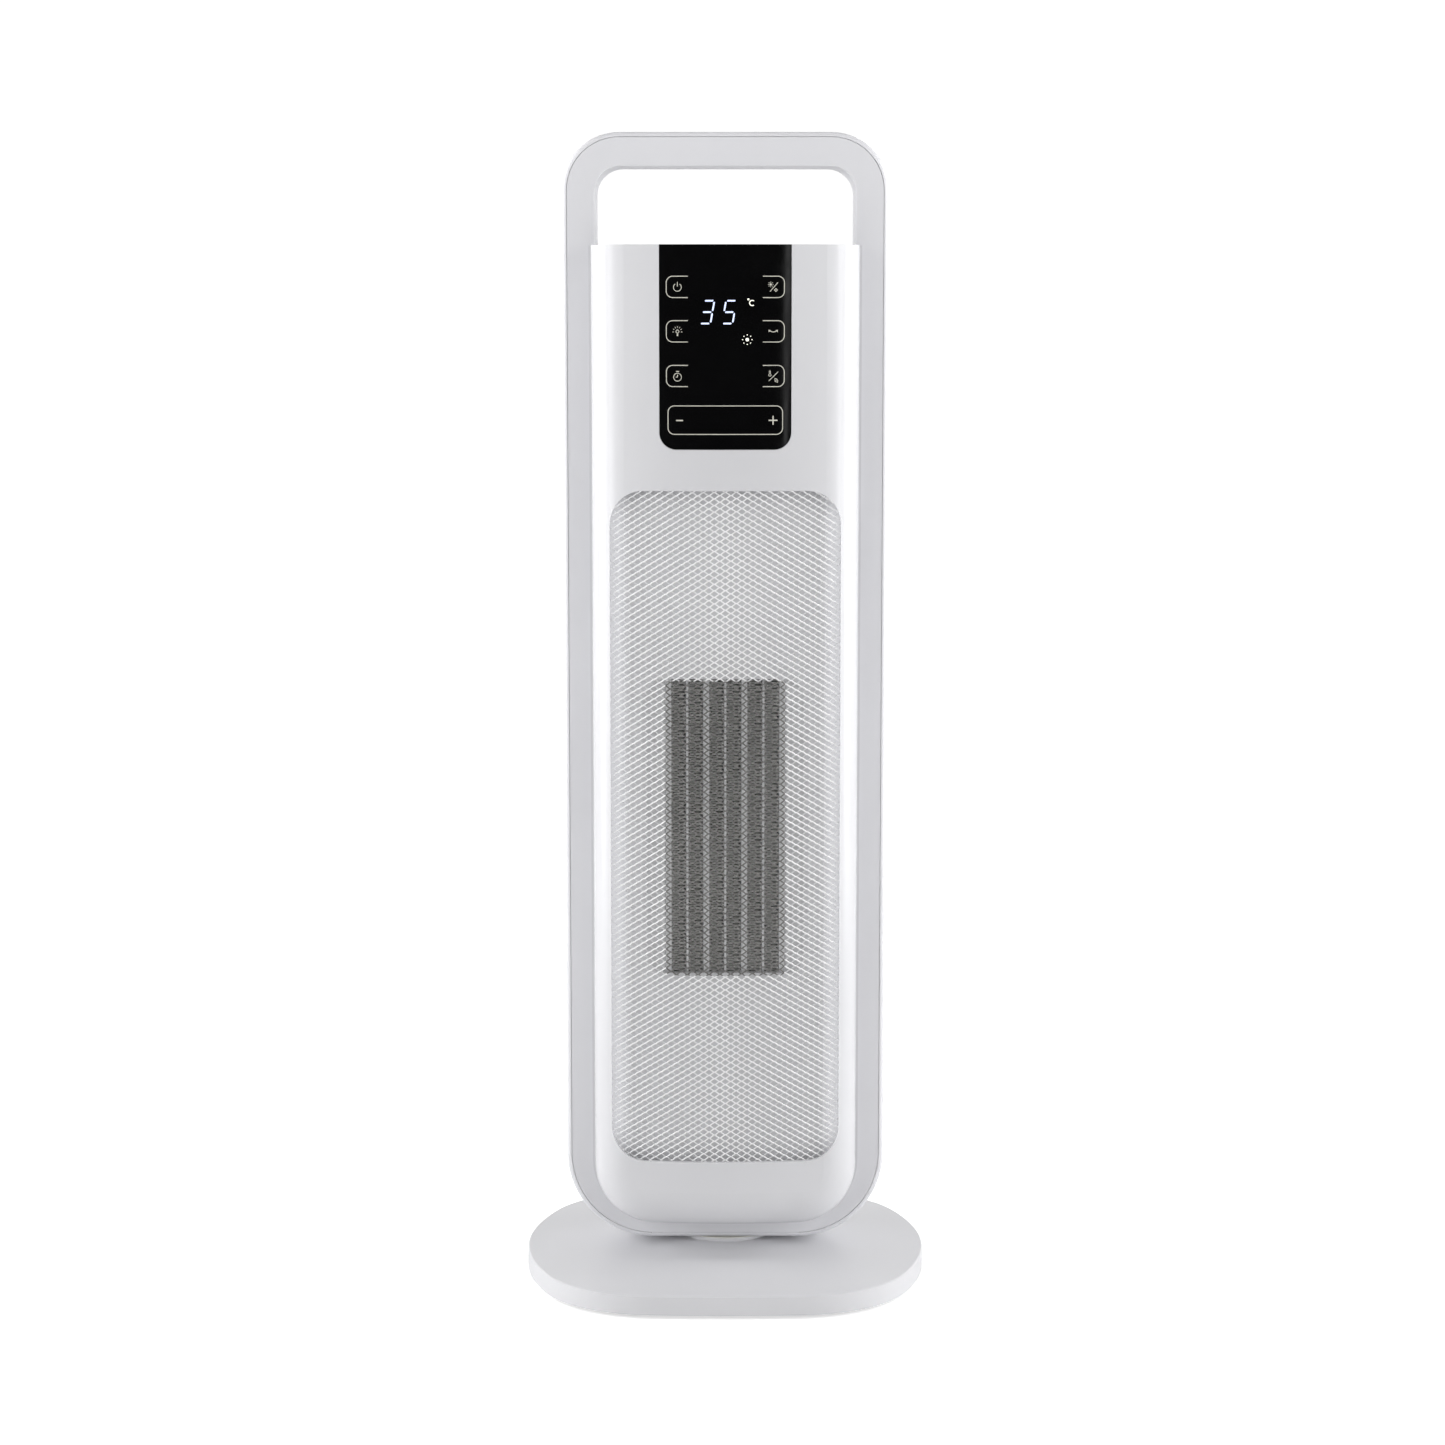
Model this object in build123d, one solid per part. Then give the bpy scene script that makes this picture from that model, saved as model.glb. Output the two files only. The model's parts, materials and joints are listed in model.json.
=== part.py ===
from build123d import *
import os
from math import acos, cos, pi, radians, sin, tan

# A ceramic tower heater that turns on a low base.
# Millimetres. The origin lies on the floor, on the swivel axis. +Z is up and the front faces -Y.

# ---- base ----
base_half_width = 109.4
base_half_depth = 103.8
base_side_radius = 160
base_front_radius = 800
base_corner_radius = 65
base_rim = 12.7
skirt_bottom = 2.0
base_wall = 2.5
dome_top = 19.8
rim_chamfer = 0.7
dome_radius = 31
neck_radius = 26.5
neck_top = 21.4
bore_radius = 21.3
bearing_bottom = 11.4
plate_bottom = 0.8
plate_top = 4.4
plate_step = 16
foot_radius = 13
foot_height = 1.8
foot_places = [(x, y) for x in (-68, 68) for y in (-64, 64)]
ballast_inset = 12
ballast_top = 7.4
base_screw_places = [(84, 0), (-84, 0), (0, 80), (0, -80)]
grommet_radius = 4.4
cord_bore_radius = 3.3
grommet_height = 7.2

# ---- oscillation drive ----
gear_module = 0.6
fixed_teeth = 28
pinion_teeth = 14
pressure_angle = radians(25)
backlash = 0.16
gear_bottom = 10.0
gear_top = 15.0
gear_distance = gear_module * (fixed_teeth + pinion_teeth) / 2
drive_shaft_radius = 2.5
spindle_radius = 21.0
spindle_bore = 18.4
spindle_bottom = 10.9
spindle_flange_radius = 30
seat_half_depth = 20.6
step_motor_radius = 14
step_motor_offset = 8
step_motor_height = 19

# ---- loop frame ----
tower_bottom = 22.0
tower_top = 620.0
frame_half_width = 86.4
frame_half_depth = 25.0
frame_top_radius = 30.5
frame_bottom_radius = 47.0
edge_round = 2.6
wall = 2.5
trim_inset = 2.75
trim_thickness = 1.6
seam = 0.25
grip_half_width = 69.2
grip_top = 602.4
grip_corner = 14.0
insert_half_width = 40.4
insert_top = 24.6
insert_pad_top = 27.5

# ---- front cover ----
cover_half_width = 72.3
cover_top = 560.8
cover_bottom = 32.2
cover_front = -59.0
cover_curve = 275.0
cover_corner = 34.0
shoulder_radius = 22.0
foot_flange = 1.6
foot_flange_height = 1.3
cover_wall = 3.0
glass_half_width = 34.5
glass_bottom = 454.5
glass_corner = 9.0
glass_thickness = 1.6
outlet_half_width = 60.9
outlet_bottom = 72.7
outlet_top = 433.0
outlet_corner = 18.0
mesh_gap = 0.1
mesh_thickness = 0.8

# ---- outlet duct and heating element ----
duct_half_width = 63.5
duct_bend = 52.6
duct_side_back = -39.5
duct_plate_front = -47.0
duct_thickness = 2.0
duct_rim = 1.5
duct_margin = 4.7
funnel_half_width = 41.7
funnel_back = -42.4
duct_rib_width = 0.6
duct_rib_height = 0.9
duct_rib_bottom = 184.5
duct_rib_top = 324.5
element_half_width = 31.9
element_bottom = 174.1
element_top = 332.7
element_front = -42.0
element_back = -27.0
module_pitch = 20.3
fin_width = 7.9
bar_width = 1.1
rail_width = 3.1
cap_height = 9.0

# ---- fan ----
fan_centre = 8.0
fan_radius = 26.0
fan_bottom = 178.0
fan_top = 328.0
blade_count = 30
blade_chord = 7.5
blade_thickness = 0.8
fan_shaft_radius = 2.5
housing_wall = 1.5
housing_bottom = 174.0
housing_top = 332.0
scroll_radius = 29.0
fan_motor_radius = 21.0
fan_motor_height = 32.0

# ---- rear ----
rear_face = 48.0
rear_round = 14.0
intake_half_width = 56.0
intake_bottom = 100.0
intake_top = 450.0
intake_corner = 8.0
intake_gap = 0.4
panel_thickness = 2.4
slot_pitch = 8.5
slot_height = 4.6
hinge_pin_radius = 1.1
hinge_pin_y = 46.4
hinge_pin_z = 103.2
rear_screw_x = 79.3
rear_screw_heights = (84.0, 310.0, 536.0)
switch_height = 66.0
rocker_tilt = 7.0


def upright(outline, y_front, y_back):
    """Stand an outline drawn in X and Z upright and give it the depth from y_front to y_back."""
    return extrude(Plane.XZ.offset(-y_back) * outline, amount=y_back - y_front)


def level(outline, z_low, z_high):
    """Lay an outline drawn in X and Y flat and give it the height from z_low to z_high."""
    return extrude(Plane.XY.offset(z_low) * outline, amount=z_high - z_low)


def block(x_low, x_high, y_low, y_high, z_low, z_high):
    """A box from its lowest and highest corners."""
    middle = Pos((x_low + x_high) / 2, (y_low + y_high) / 2, (z_low + z_high) / 2)
    return middle * Box(x_high - x_low, y_high - y_low, z_high - z_low)


def rod(x, y, radius, z_low, z_high):
    """A round upright bar."""
    return Pos(x, y, (z_low + z_high) / 2) * Cylinder(radius, z_high - z_low)


def tube(x, y, outer, inner, z_low, z_high):
    """A round upright tube."""
    return rod(x, y, outer, z_low, z_high) - rod(x, y, inner, z_low - 1, z_high + 1)


def rounded_panel(half_width, bottom, top, bottom_radius=0.0, top_radius=0.0):
    """A rectangle with its own corner radii at the bottom and at the top."""
    panel = Pos(0, (bottom + top) / 2) * Rectangle(2 * half_width, top - bottom)
    if bottom_radius > 0:
        panel = fillet(panel.vertices().sort_by(Axis.Y)[:2], bottom_radius)
    if top_radius > 0:
        panel = fillet(panel.vertices().sort_by(Axis.Y)[-2:], top_radius)
    return panel


# ---------------------------------------------------------------- base

def base_outline(inset=0.0):
    """The base seen from above: four slack arcs joined by rounder corners."""
    side_shift = base_half_width - base_side_radius
    front_shift = base_half_depth - base_front_radius
    plan = Pos(side_shift, 0) * Circle(base_side_radius - inset)
    plan &= Pos(-side_shift, 0) * Circle(base_side_radius - inset)
    plan &= Pos(0, front_shift) * Circle(base_front_radius - inset)
    plan &= Pos(0, -front_shift) * Circle(base_front_radius - inset)
    return fillet(plan.vertices(), base_corner_radius - inset)


def base_form(inset, drop):
    """The base cover's outer form, or a copy that lies inset inside it and drop below it."""
    rim = base_rim - drop
    edge = rim - rim_chamfer
    skirt = level(base_outline(inset), skirt_bottom - drop, edge)
    edge_face = Plane.XY.offset(edge) * base_outline(inset)
    rim_face = Plane.XY.offset(rim) * base_outline(inset + rim_chamfer)
    top_face = Plane.XY.offset(dome_top - drop) * Circle(dome_radius)
    return skirt + loft([edge_face, rim_face]) + loft([rim_face, top_face])


def make_base_cover():
    """The moulded cover with its neck, its bearing tube and four screw bosses."""
    shell = base_form(0, 0) - base_form(base_wall, base_wall)
    shell += rod(0, 0, neck_radius, bearing_bottom, neck_top)
    for x, y in base_screw_places:
        shell += rod(x, y, 4, plate_top, base_rim - 1)
        shell -= rod(x, y, 1.4, plate_top - 1, base_rim - 2)
    shell -= rod(0, 0, bore_radius, bearing_bottom - 1, neck_top + 1)
    rear_hole = Pos(0, base_half_depth, grommet_height) * Rot(90, 0, 0) * Cylinder(grommet_radius, 18)
    return shell - rear_hole


def make_base_plate():
    """The floor plate: a step below the skirt, and a slab that fits inside the skirt."""
    plate = level(base_outline(plate_step), plate_bottom, skirt_bottom)
    plate += level(base_outline(base_wall + 0.2), skirt_bottom, plate_top)
    for x, y in foot_places:
        plate -= rod(x, y, foot_radius + 0.1, plate_bottom - 1, foot_height)
    for x, y in base_screw_places:
        plate -= rod(x, y, 3.2, plate_bottom - 1, skirt_bottom)
        plate -= rod(x, y, 1.7, plate_bottom, plate_top + 1)
    return plate - block(-6, 6, 92, base_half_depth, skirt_bottom, plate_top + 1)


def make_base_ballast():
    """A steel plate that keeps the tower upright."""
    ballast = level(base_outline(ballast_inset), plate_top, ballast_top)
    ballast -= rod(0, 0, 34, plate_top - 1, ballast_top + 1)
    ballast -= block(-7, 7, 20, base_half_depth, plate_top - 1, ballast_top + 1)
    ballast -= block(-72, -46, -13, 13, plate_top - 1, ballast_top + 1)
    for x, y in base_screw_places:
        ballast -= rod(x, y, 5, plate_top - 1, ballast_top + 1)
    return ballast


def make_base_feet():
    """Four rubber pads."""
    feet = []
    for x, y in foot_places:
        pad = rod(x, y, foot_radius, 0, foot_height)
        feet.append(chamfer(pad.faces().sort_by(Axis.Z)[0].edges(), 0.4))
    return feet


def screw_up(x, y, z_head, length, head_radius, shank_radius):
    """A screw with its head at z_head, pointing up, with a cross slot in the head."""
    head_height = 1.1
    screw = rod(x, y, head_radius, z_head, z_head + head_height)
    screw += rod(x, y, shank_radius, z_head + head_height, z_head + length)
    for width, depth in ((3.2, 0.7), (0.7, 3.2)):
        screw -= block(x - width / 2, x + width / 2, y - depth / 2, y + depth / 2, z_head - 1, z_head + 0.6)
    return screw


def make_base_screws():
    """Four screws from below, through the plate into the cover's bosses."""
    return [screw_up(x, y, 0.85, 8.6, 3.0, 1.35) for x, y in base_screw_places]


def make_cord_grommet():
    """The ring that lines the cord's hole at the back of the base."""
    along = Pos(0, base_half_depth - 3.4, grommet_height) * Rot(90, 0, 0)
    return along * (Cylinder(grommet_radius - 0.05, 6.0) - Cylinder(cord_bore_radius, 8.0))


def make_tilt_switch():
    """The sealed switch that cuts the power when the heater tips."""
    case = block(-70, -48, -11, 11, plate_top, 10.6)
    return fillet(case.edges().filter_by(Axis.Z), 2)


def make_swivel_washer():
    """The slippery ring that the tower turns on."""
    return tube(0, 0, neck_radius - 0.6, bore_radius + 0.4, neck_top, neck_top + 0.45)


# ---------------------------------------------------------------- oscillation drive

def involute(angle):
    """The involute function."""
    return tan(angle) - angle


def gear_outline(teeth):
    """A spur gear with involute flanks and a little backlash."""
    pitch_radius = gear_module * teeth / 2
    base_radius = pitch_radius * cos(pressure_angle)
    tip = pitch_radius + 0.9 * gear_module
    root = pitch_radius - 1.2 * gear_module
    half_at_pitch = pi / (2 * teeth) - backlash / (2 * pitch_radius)
    start = max(base_radius, root)
    flank = []
    for step in range(5):
        radius = start + (tip - start) * step / 4
        half = half_at_pitch + involute(pressure_angle) - involute(acos(base_radius / radius))
        flank.append((radius, half))
    if root < start:
        flank.insert(0, (root, flank[0][1]))
    points = []
    for tooth in range(teeth):
        centre = 2 * pi * tooth / teeth
        for radius, half in flank:
            points.append((radius * cos(centre - half), radius * sin(centre - half)))
        for radius, half in reversed(flank):
            points.append((radius * cos(centre + half), radius * sin(centre + half)))
    return make_face(Polyline(points, close=True))


def make_fixed_gear():
    """The gear that is fixed to the base, hollow for the wires."""
    gear = level(gear_outline(fixed_teeth), gear_bottom, gear_top)
    gear += rod(0, 0, 7.2, plate_top, gear_bottom)
    gear += rod(0, 0, 13, plate_top, plate_top + 2)
    return gear - rod(0, 0, 4.5, plate_top - 1, gear_top + 1)


def make_drive_pinion():
    """The pinion that rolls round the fixed gear."""
    pinion = level(gear_outline(pinion_teeth), gear_bottom, gear_top)
    pinion += rod(0, 0, 3.3, gear_top, gear_top + 3)
    pinion -= rod(0, 0, drive_shaft_radius, gear_bottom - 1, gear_top + 4)
    return Pos(0, gear_distance, 0) * pinion


def make_drive_shaft():
    """The output shaft of the oscillation motor."""
    return rod(0, gear_distance, drive_shaft_radius, gear_bottom, insert_pad_top + 6)


def make_swivel_spindle():
    """The hollow spindle that hangs from the tower and turns in the base's bearing tube."""
    flange = rod(0, 0, spindle_flange_radius, insert_pad_top, insert_pad_top + 2.5)
    flange &= block(-40, 40, -seat_half_depth, seat_half_depth, 0, 60)
    spindle = flange + rod(0, 0, spindle_radius, spindle_bottom, insert_pad_top + 1)
    spindle -= rod(0, 0, spindle_bore, spindle_bottom - 1, insert_pad_top + 4)
    for x in (-26, 26):
        spindle -= rod(x, 0, 1.7, insert_pad_top - 1, insert_pad_top + 4)
    return spindle


def make_spindle_retainer():
    """The ring under the bearing tube that keeps the spindle from lifting out."""
    return tube(0, 0, 27, spindle_bore, spindle_bottom - 2.2, spindle_bottom)


def make_spindle_screws():
    """Two screws that hold the spindle's flange to the bottom insert."""
    screws = []
    for x in (-26, 26):
        screw = rod(x, 0, 3.0, insert_pad_top + 2.5, insert_pad_top + 4.2)
        screws.append(screw + rod(x, 0, 1.5, tower_bottom + 2.5, insert_pad_top + 2.5))
    return screws


def make_oscillation_motor():
    """The geared motor that drives the pinion, with its two ears."""
    low = insert_pad_top + 5
    centre = gear_distance - step_motor_offset
    motor = rod(0, centre, step_motor_radius, low, low + step_motor_height)
    motor += rod(0, gear_distance, 4.5, low - 1.5, low)
    ears = level(SlotOverall(42, 7), low, low + 0.9)
    motor += Pos(0, centre, 0) * ears
    for x in (-17.5, 17.5):
        motor -= rod(x, centre, 2.1, low - 1, low + 2)
    return motor - rod(0, gear_distance, drive_shaft_radius + 0.1, low - 2, low + 4)


def make_motor_saddle():
    """The bracket that carries the oscillation motor over the spindle's flange."""
    low = insert_pad_top + 2.5
    centre = gear_distance - step_motor_offset
    saddle = block(-22, 22, centre - 6, centre + 6, low, low + 2.5)
    saddle -= rod(0, gear_distance, 5, low - 1, low + 4)
    return saddle - rod(0, 0, 5, low - 1, low + 4)


# ---------------------------------------------------------------- loop frame

def frame_outline(inset=0.0):
    """The loop frame's outer outline."""
    return rounded_panel(frame_half_width - inset, tower_bottom + inset, tower_top - inset,
                         frame_bottom_radius - inset, frame_top_radius - inset)


def grip_outline(outset=0.0):
    """The finger gap under the top of the loop."""
    return rounded_panel(grip_half_width + outset, cover_top - outset, grip_top + outset,
                         1.0, grip_corner + outset)


def frame_block():
    """The whole loop frame before it is hollowed: a slab with rounded outer edges."""
    slab = upright(frame_outline(), -frame_half_depth, frame_half_depth)
    outer = slab.faces().sort_by(Axis.Y)
    edges = outer[0].edges() + outer[-1].edges()
    slab = fillet(edges, edge_round)
    return slab - upright(grip_outline(), -frame_half_depth - 5, frame_half_depth + 5)


def insert_zone(gap):
    """The space that the bottom insert takes out of the frame's lower edge."""
    half = insert_half_width + gap
    return block(-half, half, -frame_half_depth - 5, frame_half_depth + 5, tower_bottom - 5, insert_top + gap)


def frame_cavity(y_front, y_back):
    """The hollow inside the frame, which leaves a wall round the finger gap."""
    hollow = upright(frame_outline(wall), y_front, y_back)
    return hollow - upright(grip_outline(wall), y_front - 1, y_back + 1)


def make_frame_front():
    """The front half of the loop frame, with a step for the inlaid face and a window for the outlet."""
    half = frame_block() & block(-100, 100, -frame_half_depth - 1, 0, 0, 700)
    step_back = -frame_half_depth + trim_thickness + 0.05
    half -= upright(frame_outline(trim_inset - seam), -frame_half_depth - 1, step_back)
    half -= frame_cavity(step_back + wall, 1)
    half -= upright(rounded_panel(63, 46, 552, 22, 4), -frame_half_depth - 1, 1)
    return half - insert_zone(0.15)


def make_frame_trim():
    """The inlaid face of the loop frame."""
    face = upright(frame_outline(trim_inset), -frame_half_depth, -frame_half_depth + trim_thickness)
    face -= upright(grip_outline(0.0), -frame_half_depth - 1, 0)
    return face - upright(rounded_panel(64, 45, 553, 22, 4), -frame_half_depth - 1, 0)


def make_bottom_insert():
    """The piece in the frame's lower edge that the spindle hangs from."""
    insert = frame_block() & insert_zone(0.0)
    pad = block(-38, 38, -seat_half_depth, seat_half_depth, insert_top - 1, insert_pad_top)
    insert += fillet(pad.edges().filter_by(Axis.Z), 3)
    insert -= rod(0, 0, spindle_radius + 0.05, tower_bottom - 1, insert_pad_top + 1)
    for x in (-26, 26):
        insert -= rod(x, 0, 1.5, tower_bottom + 2.5, insert_pad_top + 1)
    return insert


# ---------------------------------------------------------------- front cover

def cover_form(inset, top):
    """The bulging front, or a copy that lies inset inside it: bowed across, round at sides and bottom."""
    outline = rounded_panel(cover_half_width - foot_flange - inset, cover_bottom + foot_flange + inset, top,
                            cover_corner - foot_flange - inset)
    form = upright(outline, cover_front - 10, -frame_half_depth)
    axis_y = cover_front + cover_curve
    form &= Pos(0, axis_y, (cover_bottom + top) / 2) * Cylinder(cover_curve - inset, 700)
    front = form.faces().sort_by(Axis.Y)[0]
    return fillet(front.edges().sort_by(Axis.Z)[:-1], shoulder_radius - inset)


def glass_outline(gap):
    """The touch glass, flush with the top of the cover."""
    return rounded_panel(glass_half_width + gap, glass_bottom - gap, cover_top + 5, glass_corner + gap)


def outlet_outline(margin):
    """The outlet window, or an outline that lies margin outside it."""
    return rounded_panel(outlet_half_width + margin, outlet_bottom - margin, outlet_top + margin,
                         outlet_corner + margin, outlet_corner + margin)


def make_front_cover():
    """The white front cover, with its foot, its glass recess and its outlet window."""
    foot = rounded_panel(cover_half_width, cover_bottom, cover_top, cover_corner)
    cover = cover_form(0, cover_top)
    cover += upright(foot, -frame_half_depth - foot_flange_height, -frame_half_depth)
    cover -= cover_form(cover_wall, cover_top - cover_wall)
    recess = upright(glass_outline(0.0), cover_front - 9, -40) - cover_form(glass_thickness + 0.05, cover_top + 9)
    cover -= recess
    cover -= upright(rounded_panel(23, 507, 543, 2, 2), cover_front - 9, -40)
    return cover - upright(outlet_outline(0.0), cover_front - 9, -34)


def make_control_glass():
    """The curved touch glass."""
    glass = cover_form(0, cover_top) & upright(glass_outline(-0.2), cover_front - 9, -40)
    return glass - cover_form(glass_thickness, cover_top + 9)


def make_outlet_mesh():
    """The expanded-metal sheet behind the outlet window, as a plain bowed sheet."""
    reach = upright(outlet_outline(3.0), cover_front - 9, -42)
    near = cover_wall + mesh_gap
    return (cover_form(near, cover_top) & reach) - cover_form(near + mesh_thickness, cover_top + 9)


def make_display_board():
    """The circuit board behind the glass."""
    board = rounded_panel(30, 462, 552, 2, 2)
    return upright(board, -50.0, -48.4)


def make_led_display():
    """The digit block on the display board, which shines through the glass."""
    return block(-20, 20, -54.6, -50.0, 510, 540)


# ---------------------------------------------------------------- outlet duct and heating element

def duct_front_zone(setback):
    """Everything in front of the duct's wall, which folds back at both sides."""
    flat_y = duct_plate_front + setback
    side_y = duct_side_back + setback
    right = [(100, -80), (100, side_y), (duct_half_width, side_y), (duct_bend, flat_y)]
    left = [(-x, y) for x, y in reversed(right)]
    return level(Polygon(*right, *left, align=None), 0, tower_top)


def make_outlet_duct():
    """The tray behind the mesh, with folded sides and a flared opening for the heating element."""
    low = outlet_bottom - duct_margin
    high = outlet_top + duct_margin
    tray = rounded_panel(duct_half_width, low, high, 16, 16)
    hollow = rounded_panel(duct_half_width + 1, low + duct_rim, high - duct_rim, 15.5, 15.5)
    near = cover_wall + mesh_gap + mesh_thickness + 0.1
    duct = upright(tray, cover_front, duct_side_back + duct_thickness) & cover_form(near, cover_top)
    duct &= duct_front_zone(duct_thickness)
    duct -= upright(hollow, -70, -30) & duct_front_zone(0)
    for side in (-1, 1):
        x = side * (funnel_half_width + duct_rib_width)
        duct += block(x - duct_rib_width / 2, x + duct_rib_width / 2, duct_plate_front - duct_rib_height,
                      duct_plate_front + 0.5, duct_rib_bottom, duct_rib_top)
    duct += block(-45, 45, duct_plate_front, funnel_back, element_bottom - 3, element_top + 3)
    wide = rounded_panel(funnel_half_width, element_bottom, element_top, 9, 9)
    narrow = rounded_panel(element_half_width + 0.2, element_bottom, element_top, 3, 3)
    front_face = Plane.XZ.offset(-duct_plate_front) * wide
    back_face = Plane.XZ.offset(-funnel_back) * narrow
    duct -= loft([front_face, back_face])
    return duct - upright(narrow, funnel_back - 0.01, funnel_back + 2)


def fin_places():
    """The X centre of each column of fins, two for each module."""
    reach = (bar_width + fin_width) / 2
    return [module_pitch * step + side * reach for step in (-1, 0, 1) for side in (-1, 1)]


def element_column(x, width):
    """One upright column of the heating element."""
    return block(x - width / 2, x + width / 2, element_front, element_back, element_bottom, element_top)


def make_heater_rails():
    """The side rails that clamp the element together, and the strips between its three modules."""
    side_place = element_half_width - rail_width / 2
    rails = []
    for place in (-side_place, -module_pitch / 2, module_pitch / 2, side_place):
        rails.append(element_column(place, rail_width))
    return rails


def make_heater_cap(z_low):
    """A heat-proof end cap of the element."""
    cap = block(-36, 36, element_front, element_back, z_low, z_low + cap_height)
    return chamfer(cap.edges().filter_by(Axis.Y), 2)


def make_thermal_cutout():
    """The disc thermostat on the element's upper cap."""
    low = element_top + cap_height
    cutout = rod(18, -34, 6.5, low, low + 5)
    return cutout + rod(18, -34, 8.5, low, low + 1)


# ---------------------------------------------------------------- fan

def make_fan_wheel():
    """The tangential fan wheel: end discs, two stiffening rings and a cage of blades."""
    wheel = rod(0, 0, fan_radius, fan_bottom, fan_bottom + 2)
    wheel += rod(0, 0, fan_radius, fan_top - 2, fan_top)
    third = (fan_top - fan_bottom) / 3
    for ring in (1, 2):
        middle = fan_bottom + ring * third
        wheel += tube(0, 0, fan_radius, fan_radius - blade_chord, middle - 0.8, middle + 0.8)
    for turn in range(blade_count):
        angle = 360 * turn / blade_count
        blade = block(-blade_chord / 2, blade_chord / 2, -blade_thickness / 2, blade_thickness / 2,
                      fan_bottom + 1, fan_top - 1)
        wheel += Rot(0, 0, angle) * Pos(fan_radius - 0.5 * blade_chord, 0, 0) * Rot(0, 0, 28) * blade
    wheel &= rod(0, 0, fan_radius, fan_bottom, fan_top)
    wheel -= rod(0, 0, fan_shaft_radius, fan_bottom - 1, fan_top + 1)
    return Pos(0, fan_centre, 0) * wheel


def make_fan_shaft():
    """The shaft through the fan motor and the fan wheel."""
    return rod(0, fan_centre, fan_shaft_radius, housing_bottom - 36, housing_top + 3)


def make_fan_housing():
    """The scroll: two end plates, a curved back wall and the two walls of the mouth."""
    reach = scroll_radius + housing_wall
    mouth = element_half_width + 0.4
    plan = Rectangle(2 * (mouth + housing_wall), 2 * reach)
    plate = Pos(0, fan_centre) * plan
    front_strip = Pos(0, (element_back + 0.5 + fan_centre) / 2)
    plate += front_strip * Rectangle(2 * (mouth + housing_wall), fan_centre - element_back - 0.5)
    housing = level(plate, housing_bottom, housing_bottom + 2) + level(plate, housing_top - 2, housing_top)
    scroll = Circle(reach) - Circle(scroll_radius)
    scroll &= Pos(-reach / 2, 4) * Rectangle(reach, 2 * reach)
    housing += level(Pos(0, fan_centre) * scroll, housing_bottom, housing_top)
    for side in (-1, 1):
        near = side * mouth
        far = side * (mouth + housing_wall)
        back = fan_centre if side < 0 else -12
        housing += block(min(near, far), max(near, far), element_back + 0.5, back, housing_bottom, housing_top)
    tongue = block(27.5, mouth + 1, -13.5, -12, housing_bottom, housing_top)
    housing += tongue
    return housing - rod(0, fan_centre, 7, housing_bottom - 1, housing_top + 1)


def make_fan_bearing():
    """The bush that holds the upper end of the fan shaft."""
    return tube(0, fan_centre, 7, fan_shaft_radius + 0.05, housing_top - 2, housing_top + 3)


def make_fan_motor():
    """The fan motor under the housing."""
    top = housing_bottom - 6
    motor = rod(0, fan_centre, fan_motor_radius, top - fan_motor_height, top)
    motor = fillet(motor.edges().filter_by(GeomType.CIRCLE), 2)
    motor += rod(0, fan_centre, 6, top - 1, top + 3)
    return motor - rod(0, fan_centre, fan_shaft_radius + 0.1, top - fan_motor_height - 1, top + 4)


def make_motor_bracket():
    """The plate that hangs the fan motor from the housing on four posts."""
    low = housing_bottom - 6
    plate = block(-32, 32, fan_centre - 24, fan_centre + 24, low, low + 2)
    for x in (-28, 28):
        for y in (-20, 20):
            plate += rod(x, fan_centre + y, 3, low + 1, housing_bottom)
    return plate - rod(0, fan_centre, 6.2, low - 1, low + 4)


# ---------------------------------------------------------------- electronics

def make_power_board():
    """The board that switches the heat and the motors."""
    return upright(rounded_panel(48, 62, 118, 2, 2), 20.0, 21.6)


def make_relays():
    """Three relays on the power board."""
    return [block(x - 8, x + 8, 4.0, 20.0, 90, 110) for x in (-28, 0, 28)]


def make_terminal_block():
    """The screw terminals where the wires join the power board."""
    terminals = block(-30, 30, 8.0, 20.0, 66, 78)
    for step in range(5):
        terminals -= rod(-24 + 12 * step, 14, 2.6, 74, 80)
    return terminals


# ---------------------------------------------------------------- rear

def rear_form(inset):
    """The rear bulge, or a copy that lies inset inside it."""
    outline = rounded_panel(cover_half_width - inset, cover_bottom + inset, cover_top - inset,
                            cover_corner - inset)
    form = upright(outline, frame_half_depth - wall - 0.5, rear_face - inset)
    back = form.faces().sort_by(Axis.Y)[-1]
    return fillet(back.edges(), rear_round - inset)


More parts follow.
